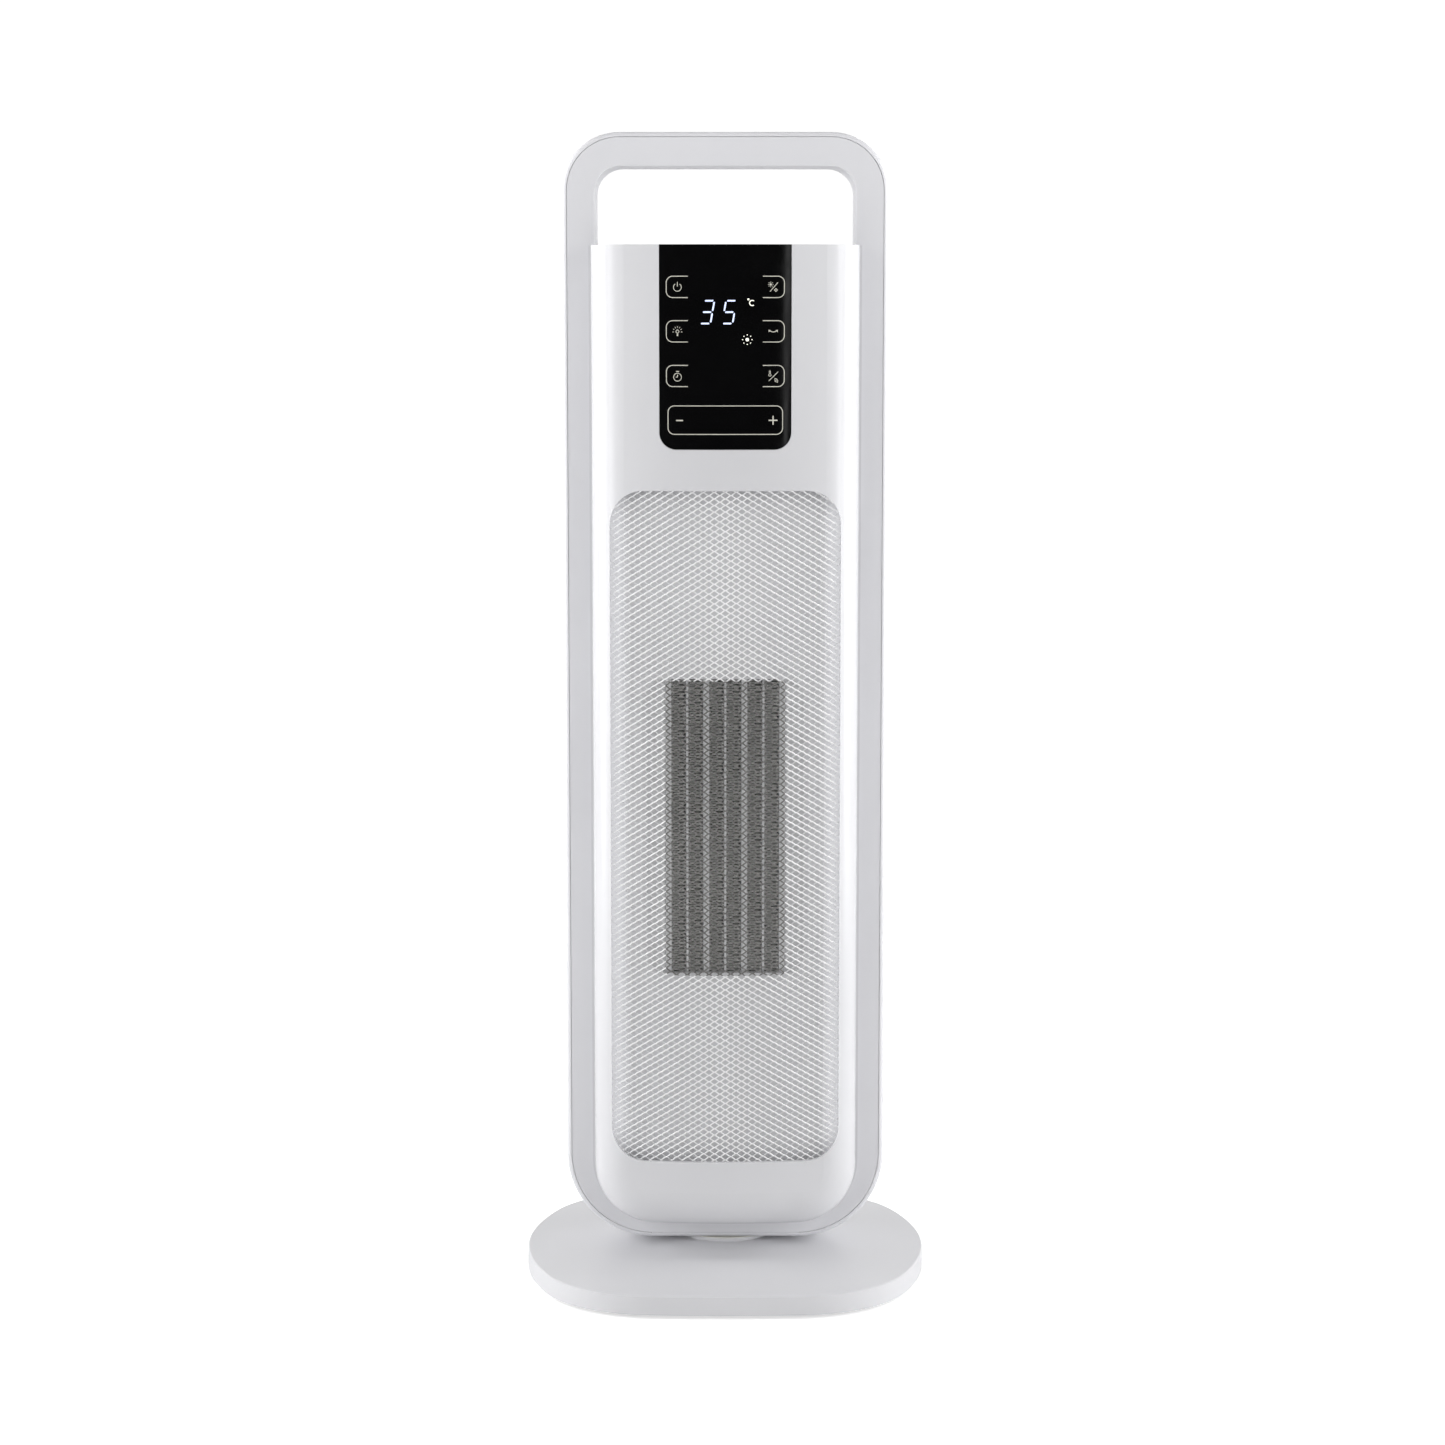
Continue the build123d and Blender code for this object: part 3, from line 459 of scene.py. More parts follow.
finish = {
    "white_gloss": moulded("cover_white", (0.70, 0.70, 0.72), (0.675, 0.675, 0.695), (0.20, 0.27)),
    "frame_grey": moulded("frame_grey", (0.765, 0.765, 0.79), (0.74, 0.74, 0.765), (0.36, 0.46)),
    "trim_grey": moulded("trim_grey", (0.765, 0.765, 0.79), (0.74, 0.74, 0.765), (0.36, 0.46)),
    # The base's rim gets the full lighter edge tone: a painted highlight along it, as well as wear.
    "base_grey": moulded("base_white", (0.71, 0.71, 0.73), (0.685, 0.685, 0.705), (0.30, 0.38), worn_edge_sheen=1.0),
    "heat_plastic": moulded("heat_proof_black", (0.055, 0.05, 0.047), (0.035, 0.033, 0.03), (0.5, 0.7)),
    "gear_acetal": moulded("gear_acetal", (0.74, 0.73, 0.68), (0.68, 0.67, 0.62), (0.28, 0.4)),
    "component_black": moulded("component_black", (0.028, 0.028, 0.030), (0.018, 0.018, 0.020), (0.4, 0.6)),
    "fan_grey": moulded("fan_grey", (0.10, 0.105, 0.11), (0.07, 0.075, 0.08), (0.4, 0.55)),
    "switch_black": moulded("switch_black", (0.020, 0.020, 0.022), (0.012, 0.012, 0.014), (0.14, 0.25),
                            coat=0.4),
    "rubber_black": moulded("rubber_black", (0.030, 0.030, 0.030), (0.018, 0.018, 0.018), (0.7, 0.9),
                            900.0, 0.00003),
}
print("moulded finishes:", len(finish))

# %% [markdown]
# Metals share a recipe too. Steel is zinc plated, so its tone is cool and mottled; the clamped bars are
# bright rolled aluminium; the fins are a light, dull grey that mirrors little.

# %% Metals
def drawn_metal(name, light, dark, gloss, stretch=(4000.0, 4000.0, 40.0), metallic=1.0, bump=0.00001):
    """A drawn or rolled metal with fine parallel lines."""
    material, tree, surface, place = start_material(name)
    lines = use_group(tree, drawn_lines, Vector=place, Stretch=stretch, Gloss_Low=gloss[0],
                      Gloss_High=gloss[1])
    wear_and_light_masks = use_group(tree, wear_dust_highlight_shade, Vector=place, Edge_Amount=0.5, Dust_Amount=0.4)
    tone = mix_colour(tree, lines["Tone"], dark, light)
    # Creases get a dark dusty tone, which also paints shade into them.
    tone = mix_colour(tree, wear_and_light_masks["Dust"], tone, (0.20, 0.19, 0.18))
    feed(tree, surface, Base_Color=tone, Roughness=lines["Roughness"], Metallic=metallic)
    add_bump(tree, surface, lines["Height"], bump)
    return material


finish["steel"] = drawn_metal("zinc_steel", (0.62, 0.63, 0.65), (0.45, 0.46, 0.48), (0.28, 0.45))
finish["bar_aluminium"] = drawn_metal("bar_aluminium", (0.93, 0.93, 0.94), (0.82, 0.82, 0.83), (0.3, 0.5),
                                      metallic=0.6)
finish["fin_aluminium"] = drawn_metal("fin_aluminium", (0.92, 0.915, 0.9), (0.78, 0.775, 0.76), (0.4, 0.6),
                                      (40.0, 4000.0, 4000.0), metallic=0.3)
print("metals:", "steel, bar_aluminium, fin_aluminium")

# %% [markdown]
# The outlet mesh is powder coated, which leaves a fine peel. Three masks shape its tone, all read from Object
# coordinates. The strands of expanded metal are twisted, so on each side of the middle one of the two slants
# catches the light and the other doesn't, and that other slant gets a dimmer tone, a painted shade. In front
# of the element the coat gets a much darker tone, which is painted shade as well. Everywhere else it glows a
# little, most at the sides. A real coat doesn't glow: the emission stands in for light that the lamps here
# don't bring into the recess.
# The strand's slant is an attribute that the geometry tree writes further down. The duct behind gets the
# same stand-in at its sides. The touch glass is nearly black, and only its smeared roughness shows what it
# is.

# %% Powder coat and touch glass
element_low, element_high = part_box("heater_rails")
ELEMENT_HALF_WIDTH = (element_high.x - element_low.x) / 2
ELEMENT_HALF_HEIGHT = (element_high.z - element_low.z) / 2
ELEMENT_MIDDLE = (element_high.z + element_low.z) / 2
GLOW_FROM = 49 * MM
GLOW_TO = 61 * MM
SHADE_CORNER = 2.5 * MM
SHADE_FADE = 0.4 * MM
SHADED_SLANT_REACH = 26 * MM
SHADED_SLANT_SHARE = 0.8
BESIDE = (4 * MM, 28 * MM)
COAT_TONES = ((0.96, 0.96, 0.965), (0.99, 0.99, 0.995))
# Painted shade: a dimmer tone for the slant that faces away from the light, and dark tones in front of the
# element.
COAT_SHADED_SLANT = (0.62, 0.62, 0.635)
COAT_PAINTED_SHADE = ((0.15, 0.148, 0.142), (0.24, 0.237, 0.23))
COAT_GLOW = 0.3
GLOW_MIDDLE = (0.1, 0.1, 0.102)
GLOW_BESIDE = (0.42, 0.42, 0.43)
GLOW_SIDES = (0.7, 0.7, 0.715)
NO_GLOW = (0.0, 0.0, 0.0)
DUCT_TONES = ((0.64, 0.64, 0.655), (0.68, 0.68, 0.695))
# Painted light: the duct's sides get this paler tone, with the stand-in glow below.
DUCT_PAINTED_LIT_SIDES = (0.86, 0.86, 0.88)
DUCT_GLOW_TONE = (1.0, 1.0, 1.02)
DUCT_GLOW = 0.27


def rounded_distance(tree, across, up, half_width, half_height, radius):
    """The signed distance of (across, up) from a rounded rectangle, negative inside."""
    reach_x = plus(tree, minus(tree, math_node(tree, "ABSOLUTE", across), half_width), radius)
    reach_z = plus(tree, minus(tree, math_node(tree, "ABSOLUTE", up), half_height), radius)
    outer_x = math_node(tree, "MAXIMUM", reach_x, 0.0)
    outer_z = math_node(tree, "MAXIMUM", reach_z, 0.0)
    outer = math_node(tree, "SQRT", plus(tree, times(tree, outer_x, outer_x), times(tree, outer_z, outer_z)))
    inner = math_node(tree, "MINIMUM", math_node(tree, "MAXIMUM", reach_x, reach_z), 0.0)
    return minus(tree, plus(tree, outer, inner), radius)


def side_fill(tree, place):
    """How near a point is to the sides of the outlet, where the stand-in glow is strongest."""
    return smooth_step(tree, math_node(tree, "ABSOLUTE", split_of(tree, place)["X"]), GLOW_FROM, GLOW_TO)


def make_powder_coat():
    """White coat: a painted shade in front of the element, and a painted shade on the strands whose slant
    faces away from the light.
    """
    material, tree, surface, place = start_material("mesh_white")
    peel = use_group(tree, moulded_grain, Vector=place, Grain_Scale=2600.0, Gloss_Low=0.28, Gloss_High=0.42)
    spot = split_of(tree, place)
    lean = tree.nodes.new("ShaderNodeAttribute")
    lean.attribute_name = "lean"
    # Painted shade mask: on each side, the slant that faces away from the light.
    away = smooth_step(tree, times(tree, lean.outputs["Fac"], spot["X"]), 0.0, SHADED_SLANT_REACH)
    up = minus(tree, spot["Z"], ELEMENT_MIDDLE)
    outside = rounded_distance(tree, spot["X"], up, ELEMENT_HALF_WIDTH, ELEMENT_HALF_HEIGHT, SHADE_CORNER)
    shade = smooth_step(tree, times(tree, outside, -1.0), 0.0, SHADE_FADE)
    tone = mix_colour(tree, peel["Tone"], *COAT_TONES)
    # Painted shade: one slant is dimmed on each side, then the zone in front of the element is darkened.
    tone = mix_colour(tree, times(tree, away, SHADED_SLANT_SHARE), tone, COAT_SHADED_SLANT)
    tone = mix_colour(tree, shade, tone, mix_colour(tree, peel["Tone"], *COAT_PAINTED_SHADE))
    beside = smooth_step(tree, math_node(tree, "ABSOLUTE", spot["X"]), *BESIDE)
    glow = mix_colour(tree, beside, GLOW_MIDDLE, GLOW_BESIDE)
    glow = mix_colour(tree, away, glow, NO_GLOW)
    glow = mix_colour(tree, side_fill(tree, place), glow, GLOW_SIDES)
    glow = mix_colour(tree, shade, glow, NO_GLOW)
    feed(tree, surface, Base_Color=tone, Roughness=peel["Roughness"], Emission_Color=glow,
         Emission_Strength=COAT_GLOW)
    add_bump(tree, surface, peel["Height"], 0.00002)
    return material


def make_duct_plastic():
    """The white plastic behind the mesh, with a paler tone and the stand-in glow at its sides, both painted
    light.
    """
    material, tree, surface, place = start_material("duct_white")
    skin = use_group(tree, moulded_grain, Vector=place, Grain_Scale=1500.0, Gloss_Low=0.45, Gloss_High=0.6)
    fill = side_fill(tree, place)
    tone = mix_colour(tree, fill, mix_colour(tree, skin["Tone"], *DUCT_TONES), DUCT_PAINTED_LIT_SIDES)
    glow = mix_colour(tree, fill, NO_GLOW, DUCT_GLOW_TONE)
    feed(tree, surface, Base_Color=tone, Roughness=skin["Roughness"], Emission_Color=glow,
         Emission_Strength=DUCT_GLOW)
    add_bump(tree, surface, skin["Height"], 0.00001)
    return material


def make_touch_glass():
    material, tree, surface, place = start_material("touch_glass")
    smears = noise(tree, place, 45.0, 5.0, 0.65)
    depth = mix_colour(tree, between(tree, smears, 0.0, 1.0), (0.0018, 0.0018, 0.0020),
                       (0.0024, 0.0024, 0.0027))
    feed(tree, surface, Base_Color=depth, Roughness=between(tree, smears, 0.03, 0.10), IOR=1.5)
    return material


finish["mesh_white"] = make_powder_coat()
finish["duct_white"] = make_duct_plastic()
finish["touch_glass"] = make_touch_glass()
print("coat and glass ready")

# %% [markdown]
# Circuit boards are glass fibre under green lacquer, with copper tracks that show as slightly lighter
# lines. A brick texture gives straight tracks at a believable scale. The foam filter is an open sponge,
# which a Voronoi pattern imitates: dark pores between thin walls.

# %% Boards, display block and foam
def make_board():
    material, tree, surface, place = start_material("board_green")
    turned = feed(tree, tree.nodes.new("ShaderNodeMapping"), Vector=place, Rotation=(math.radians(90), 0, 0))
    bricks = feed(tree, tree.nodes.new("ShaderNodeTexBrick"), Vector=turned.outputs[0], Scale=260.0,
                  Mortar_Size=0.05, Color1=(0.012, 0.085, 0.03, 1), Color2=(0.010, 0.070, 0.026, 1),
                  Mortar=(0.03, 0.16, 0.06, 1))
    feed(tree, surface, Base_Color=bricks.outputs["Color"],
         Roughness=between(tree, noise(tree, place, 300.0), 0.2, 0.35))
    add_bump(tree, surface, bricks.outputs["Fac"], 0.00003)
    return material


def make_foam():
    material, tree, surface, place = start_material("filter_foam")
    pores = feed(tree, tree.nodes.new("ShaderNodeTexVoronoi"), Vector=place, Scale=900.0)
    wall = between(tree, pores.outputs["Distance"], 0.0, 1.0, 0.1, 0.7)
    tone = mix_colour(tree, wall, (0.010, 0.010, 0.011), (0.075, 0.076, 0.08))
    feed(tree, surface, Base_Color=tone, Roughness=between(tree, wall, 0.85, 1.0, 0.0, 1.0))
    add_bump(tree, surface, wall, 0.0006)
    return material


finish["board_green"] = make_board()
finish["foam_grey"] = make_foam()
finish["led_white"] = moulded("led_block", (0.06, 0.06, 0.065), (0.05, 0.05, 0.055), (0.3, 0.4))
print("finishes:", len(finish))

# %% [markdown]
# The CAD pieces keep their shape. The record says which finish slot each one belongs to, so a loop can
# dress them all: it clears each mesh's materials and puts in ours.

# %% Dress the CAD pieces
for row in frame["record"]["subparts"]:
    mesh = nodes[row["node"]].data
    mesh.materials.clear()
    mesh.materials.append(finish[row["material_slot"]])

# %% [markdown]
# **Expanded metal.** The outlet is cut and stretched from one sheet: every slit opens to a diamond, and the
# strands between them cross at short bonds. Modelling it by hand would be hopeless, and a painted pattern
# of holes would look flat from the side. Geometry Nodes can make it from a rule: a grid of points where
# every second one is a bond, one small V of strands on each bond, and everything bent round the cover's
# profile at the end.
#
# First we need that profile: a slack arc across the front, and a tighter arc at each shoulder. The mesh
# sheet's CAD box gives its reach.

# %% Profile of the outlet
COVER_CURVE = 275.0 * MM
SHOULDER = 22.0 * MM
SIDE_HALF = 70.7 * MM
SHEET_INSET = 3.5 * MM
mesh_low, mesh_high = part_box("outlet_mesh")
cover_low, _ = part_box("front_cover")


def profile_point(turn, inset):
    """The point (x, y) on the cover's profile where its normal has turned by that angle from the middle."""
    big = COVER_CURVE - inset
    small = SHOULDER - inset
    limit = math.asin((SIDE_HALF - inset - small) / (big - small))
    side = math.copysign(1.0, turn)
    centre_y = cover_low.y + COVER_CURVE
    if abs(turn) <= limit:
        return Vector((big * math.sin(turn), centre_y - big * math.cos(turn), 0))
    shift = big - small
    x = shift * math.sin(limit) + small * math.sin(abs(turn))
    y = centre_y - shift * math.cos(limit) - small * math.cos(turn)
    return Vector((side * x, y, 0))


def make_profile(inset, reach, steps=240):
    """A curve object that follows the profile from -reach to +reach in turn angle."""
    curve = bpy.data.curves.new("outlet_profile", "CURVE")
    curve.dimensions = "3D"
    spline = curve.splines.new("POLY")
    spline.points.add(steps)
    for index, point in enumerate(spline.points):
        turn = reach * (2 * index / steps - 1)
        point.co = (*profile_point(turn, inset), 1)
    profile = bpy.data.objects.new("outlet_profile", curve)
    scene.collection.objects.link(profile)
    return profile


PROFILE_TURN = math.radians(68)
profile = make_profile(SHEET_INSET, PROFILE_TURN)
print("profile reaches", round(profile_point(PROFILE_TURN, SHEET_INSET).x / MM, 1), "mm to each side")

# %% [markdown]
# The tree takes its sizes as named inputs. It keeps every second grid point, drops those outside a rounded
# rectangle, puts the strands on the rest, realises them, and then moves each vertex: its X becomes a length
# along the profile, and its Y a distance out of the sheet.

# %% Geometry tree helpers
def start_tree(name, inputs):
    """A geometry tree with named inputs and one Geometry output."""
    tree = bpy.data.node_groups.new(name, "GeometryNodeTree")
    add_sockets(tree, "INPUT", inputs)
    add_sockets(tree, "OUTPUT", [("Geometry", "NodeSocketGeometry", None)])
    return tree, tree.nodes.new("NodeGroupInput").outputs, tree.nodes.new("NodeGroupOutput").inputs


def node_of(tree, kind, settings=None, **values):
    """Adds a node, sets its options and wires its inputs by name."""
    node = tree.nodes.new(kind)
    for option, value in (settings or {}).items():
        setattr(node, option, value)
    return feed(tree, node, **values)


def vector_of(tree, x=0.0, y=0.0, z=0.0):
    """Three numbers as one vector."""
    return node_of(tree, "ShaderNodeCombineXYZ", X=x, Y=y, Z=z).outputs[0]


def plain_piece(name, tree, values, body):
    """Runs a tree on an empty mesh, turns the result into a plain mesh and lets it ride on a body."""
    carrier = bpy.data.objects.new(name + "_carrier", bpy.data.meshes.new(name + "_carrier"))
    scene.collection.objects.link(carrier)
    modifier = carrier.modifiers.new("shape", "NODES")
    modifier.node_group = tree
    for item in tree.interface.items_tree:
        if item.in_out == "INPUT" and item.name in values:
            modifier[item.identifier] = values[item.name]
    bpy.context.view_layer.update()
    depsgraph = bpy.context.evaluated_depsgraph_get()
    mesh = bpy.data.meshes.new_from_object(carrier.evaluated_get(depsgraph), depsgraph=depsgraph)
    mesh.name = name
    piece = bpy.data.objects.new(name, mesh)
    scene.collection.objects.link(piece)
    bpy.data.objects.remove(carrier)
    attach(piece, body)
    print(name, "triangles:", sum(len(p.vertices) - 2 for p in mesh.polygons))
    return piece


print("geometry helpers:", ", ".join(helper.__name__ for helper in (start_tree, node_of, plain_piece)))

# %% [markdown]
# A strand is a short straight line swept with a square section. Its bond is a slightly thicker one, laid
# across the point where four strands meet. The tree then follows the rule above, step by step.

# %% Expanded-metal tree
BOND_REACH = 1.25
BOND_THICKNESS = 1.15


def strand(tree, start, end, thickness):
    """One strand of the sheet: a square section with both ends capped."""
    line = node_of(tree, "GeometryNodeCurvePrimitiveLine", Start=start, End=end)
    section = node_of(tree, "GeometryNodeCurvePrimitiveCircle", Resolution=4, Radius=thickness)
    return node_of(tree, "GeometryNodeCurveToMesh", Curve=line.outputs[0], Profile_Curve=section.outputs[0],
                   Fill_Caps=True).outputs[0]


def leaning(tree, piece, lean):
    """The strand with its lean written on it: 1 leans right, -1 leans left, 0 is a bond."""
    return node_of(tree, "GeometryNodeStoreNamedAttribute", {"data_type": "FLOAT", "domain": "POINT"},
                   Geometry=piece, Name="lean", Value=lean).outputs[0]


def make_expanded_metal():
    tree, given, result = start_tree("expanded_metal", [
        ("Cell Width", FLOAT, 5.8 * MM), ("Cell Height", FLOAT, 3.45 * MM),
        ("Columns", "NodeSocketInt", 49), ("Rows", "NodeSocketInt", 221),
        ("Strand Radius", FLOAT, 0.36 * MM), ("Bond", FLOAT, 0.3 * MM),
        ("Half Width", FLOAT, 0.066), ("Half Height", FLOAT, 0.18),
        ("Corner", FLOAT, 0.02), ("Centre Height", FLOAT, 0.25),
        ("Skew", FLOAT, 0.015), ("Profile", "NodeSocketObject", None),
        ("Material", "NodeSocketMaterial", None)])
    half_cell = times(tree, given["Cell Width"], 0.5)
    half_rise = times(tree, given["Cell Height"], 0.5)
    width = times(tree, minus(tree, given["Columns"], 1.0), half_cell)
    height = times(tree, minus(tree, given["Rows"], 1.0), half_rise)
    grid = node_of(tree, "GeometryNodeMeshGrid", Size_X=width, Size_Y=height, Vertices_X=given["Columns"],
                   Vertices_Y=given["Rows"])
    number = node_of(tree, "GeometryNodeInputIndex").outputs[0]
    column = math_node(tree, "FLOOR", math_node(tree, "DIVIDE", plus(tree, number, 0.5), given["Rows"]))
    row = minus(tree, number, times(tree, column, given["Rows"]))
    odd = math_node(tree, "MODULO", plus(tree, column, row), 2.0)
    flat = split_of(tree, node_of(tree, "GeometryNodeInputPosition").outputs[0])
    skewed = math_node(tree, "MULTIPLY_ADD", flat["X"], given["Skew"], flat["Y"])
    away = rounded_distance(tree, flat["X"], skewed, given["Half Width"], given["Half Height"],
                            given["Corner"])
    drop = math_node(tree, "MAXIMUM", math_node(tree, "GREATER_THAN", odd, 0.5),
                     math_node(tree, "GREATER_THAN", away, 0.0))
    kept = node_of(tree, "GeometryNodeDeleteGeometry", {"domain": "POINT"}, Geometry=grid.outputs["Mesh"],
                   Selection=drop)
    points = node_of(tree, "GeometryNodeMeshToPoints", Mesh=kept.outputs[0])
    bond = given["Bond"]
    thickness = given["Strand Radius"]
    low_bond = times(tree, bond, -1.0)
    low_cell = minus(tree, bond, half_cell)
    far_cell = minus(tree, half_cell, bond)
    right = strand(tree, vector_of(tree, bond), vector_of(tree, far_cell, half_rise), thickness)
    left = strand(tree, vector_of(tree, low_bond), vector_of(tree, low_cell, half_rise), thickness)
    reach = times(tree, bond, BOND_REACH)
    back = times(tree, reach, -1.0)
    knot = strand(tree, vector_of(tree, back), vector_of(tree, reach), times(tree, thickness, BOND_THICKNESS))
    joined = node_of(tree, "GeometryNodeJoinGeometry")
    for part, lean in ((right, 1.0), (left, -1.0), (knot, 0.0)):
        tree.links.new(leaning(tree, part, lean), joined.inputs[0])
    copies = node_of(tree, "GeometryNodeInstanceOnPoints", Points=points.outputs[0],
                     Instance=joined.outputs[0])
    real = node_of(tree, "GeometryNodeRealizeInstances", Geometry=copies.outputs[0])
    spot = split_of(tree, node_of(tree, "GeometryNodeInputPosition").outputs[0])
    info = node_of(tree, "GeometryNodeObjectInfo", Object=given["Profile"])
    length = node_of(tree, "GeometryNodeCurveLength", Curve=info.outputs["Geometry"]).outputs[0]
    along = math_node(tree, "MULTIPLY_ADD", length, 0.5, spot["X"])
    sample = node_of(tree, "GeometryNodeSampleCurve", {"mode": "LENGTH", "use_all_curves": True},
                     Curves=info.outputs["Geometry"], Length=along)
    on_line = split_of(tree, sample.outputs["Position"])
    tangent = split_of(tree, sample.outputs["Tangent"])
    x = math_node(tree, "MULTIPLY_ADD", tangent["Y"], spot["Z"], on_line["X"])
    y = minus(tree, on_line["Y"], times(tree, tangent["X"], spot["Z"]))
    rise = math_node(tree, "MULTIPLY_ADD", spot["X"], given["Skew"], spot["Y"])
    z = plus(tree, rise, given["Centre Height"])
    bent = node_of(tree, "GeometryNodeSetPosition", Geometry=real.outputs[0],
                   Position=vector_of(tree, x, y, z))
    smooth = node_of(tree, "GeometryNodeSetShadeSmooth", Geometry=bent.outputs[0])
    painted = node_of(tree, "GeometryNodeSetMaterial", Geometry=smooth.outputs[0],
                      Material=given["Material"])
    wire(tree, painted.outputs[0], result["Geometry"])
    return tree


expanded_metal = make_expanded_metal()
print("expanded metal tree:", len(expanded_metal.nodes), "nodes")

# %% [markdown]
# The sheet's flat half width is the length of the profile out to the edge of the CAD sheet. We add up short
# steps along the profile until we get there, which is the simplest way to measure a bent sheet.

# %% Make the outlet mesh
def flat_half_width(reach_x):
    """The length of the profile from the middle out to reach_x."""
    total = 0.0
    step = math.radians(0.1)
    turn = 0.0
    here = profile_point(0.0, SHEET_INSET)
    while here.x < reach_x and turn < PROFILE_TURN:
        turn += step
        ahead = profile_point(turn, SHEET_INSET)
        total += (ahead - here).length
        here = ahead
    return total


SHEET_EDGE = 0.9 * MM
outlet_mesh = plain_piece("outlet_mesh_expanded", expanded_metal, {
    "Half Width": flat_half_width(mesh_high.x - SHEET_EDGE),
    "Half Height": (mesh_high.z - mesh_low.z) / 2 - 2 * SHEET_EDGE,
    "Corner": 20 * MM,
    "Centre Height": (mesh_high.z + mesh_low.z) / 2,
    "Profile": profile,
    "Material": finish["mesh_white"],
}, "tower")
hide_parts("outlet_mesh")
bpy.data.objects.remove(profile)
print("outlet mesh spans:", [round(1000 * v) for v in outlet_mesh.dimensions], "mm")

# %% [markdown]
# **Corrugated fins.** Each of the six dark columns is one long strip of thin aluminium, folded to and fro
# between two bars. Its section is a rule as well: two points on one side, two on the other, climbing a
# little each time. A grid two points deep is bent that way, then given the thickness of the foil.

# %% Corrugated fin tree
CROWN_SHARE = 0.42


def make_corrugated_fins():
    tree, given, result = start_tree("corrugated_fins", [
        ("Folds", "NodeSocketInt", 88), ("Width", FLOAT, 8.7 * MM), ("Depth", FLOAT, 15 * MM),
        ("Height", FLOAT, 158.6 * MM), ("Foil", FLOAT, 0.36 * MM),
        ("Place", VECTOR, (0, 0, 0)), ("Material", "NodeSocketMaterial", None)])
    count = times(tree, given["Folds"], 2.0)
    grid = node_of(tree, "GeometryNodeMeshGrid", Size_X=1.0, Size_Y=1.0, Vertices_X=count, Vertices_Y=2)
    number = node_of(tree, "GeometryNodeInputIndex").outputs[0]
    step = math_node(tree, "FLOOR", math_node(tree, "MULTIPLY_ADD", number, 0.5, 0.25))
    is_back = minus(tree, number, times(tree, step, 2.0))
    fold = math_node(tree, "FLOOR", math_node(tree, "MULTIPLY_ADD", step, 0.5, 0.25))
    on_crown = minus(tree, step, times(tree, fold, 2.0))
    side = math_node(tree, "MULTIPLY_ADD", math_node(tree, "MODULO", fold, 2.0), -2.0, 1.0)
    half = times(tree, minus(tree, given["Width"], given["Foil"]), 0.5)
    pitch = math_node(tree, "DIVIDE", given["Height"], given["Folds"])
    crown = times(tree, pitch, CROWN_SHARE)
    x = times(tree, side, half)
    y = times(tree, is_back, given["Depth"])
    z = math_node(tree, "MULTIPLY_ADD", fold, pitch, times(tree, on_crown, crown))
    sheet = node_of(tree, "GeometryNodeSetPosition", Geometry=grid.outputs["Mesh"],
                    Position=vector_of(tree, x, y, z))
    thick = node_of(tree, "GeometryNodeExtrudeMesh", {"mode": "FACES"}, Mesh=sheet.outputs[0],
                    Offset_Scale=given["Foil"], Individual=False)
    under = node_of(tree, "GeometryNodeFlipFaces", Mesh=sheet.outputs[0])
    joined = node_of(tree, "GeometryNodeJoinGeometry")
    for part in (thick.outputs["Mesh"], under.outputs[0]):
        tree.links.new(part, joined.inputs[0])
    closed = node_of(tree, "GeometryNodeMergeByDistance", Geometry=joined.outputs[0], Distance=0.001 * MM)
    moved = node_of(tree, "GeometryNodeTransform", Geometry=closed.outputs[0], Translation=given["Place"])
    real = node_of(tree, "GeometryNodeRealizeInstances", Geometry=moved.outputs[0])
    painted = node_of(tree, "GeometryNodeSetMaterial", Geometry=real.outputs[0], Material=given["Material"])
    wire(tree, painted.outputs[0], result["Geometry"])
    return tree


corrugated_fins = make_corrugated_fins()
FOLD_PITCH = 0.95 * MM
print("corrugated fin tree:", len(corrugated_fins.nodes), "nodes, a fold every", 1000 * FOLD_PITCH, "mm")
for number in range(1, 7):
    low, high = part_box(f"fin_bank_{number}")
    height = high.z - low.z
    bank = plain_piece(f"corrugated_bank_{number}", corrugated_fins, {
        "Folds": round(height / FOLD_PITCH),
        "Width": high.x - low.x,
        "Depth": high.y - low.y,
        "Height": height,
        "Place": ((low.x + high.x) / 2, low.y, low.z),
        "Material": finish["fin_aluminium"],
    }, "tower")
    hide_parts(f"fin_bank_{number}")

# %% [markdown]
# **The foam filter** is a soft sheet behind the intake slots. It starts as a block a little smaller than
# its CAD box. Its four corners, seen from the front, are cut round, and then all its rims get a small
# bevel.

# %% Foam filter
FOAM_INSET = Vector((0.3, 0.16, 0.3)) * MM
FOAM_CORNER = 4 * MM
FOAM_RIM = 0.35 * MM


def make_filter():
    low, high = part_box("dust_filter")
    bm = bmesh.new()
    bmesh.ops.create_cube(bm, size=1.0)
    size = high - low
    middle = (high + low) / 2
    for vertex in bm.verts:
        vertex.co = Vector(c * (s - 2 * i) + m for c, s, i, m in zip(vertex.co, size, FOAM_INSET, middle))
    corners = [e for e in bm.edges if abs(e.verts[0].co.y - e.verts[1].co.y) > size.y / 2]
    bmesh.ops.bevel(bm, geom=corners, offset=FOAM_CORNER, segments=5, affect="EDGES")
    rims = [e for e in bm.edges if abs(e.verts[0].co.y - e.verts[1].co.y) < size.y / 9]
    bmesh.ops.bevel(bm, geom=rims, offset=FOAM_RIM, segments=2, affect="EDGES")
    mesh = bpy.data.meshes.new("foam_filter")
    bm.to_mesh(mesh)
    bm.free()
    foam = bpy.data.objects.new("foam_filter", mesh)
    scene.collection.objects.link(foam)
    mesh.materials.append(finish["foam_grey"])
    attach(foam, "filter_door")
    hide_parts("dust_filter")
    return foam


foam_filter = make_filter()
print("foam faces:", len(foam_filter.data.polygons))

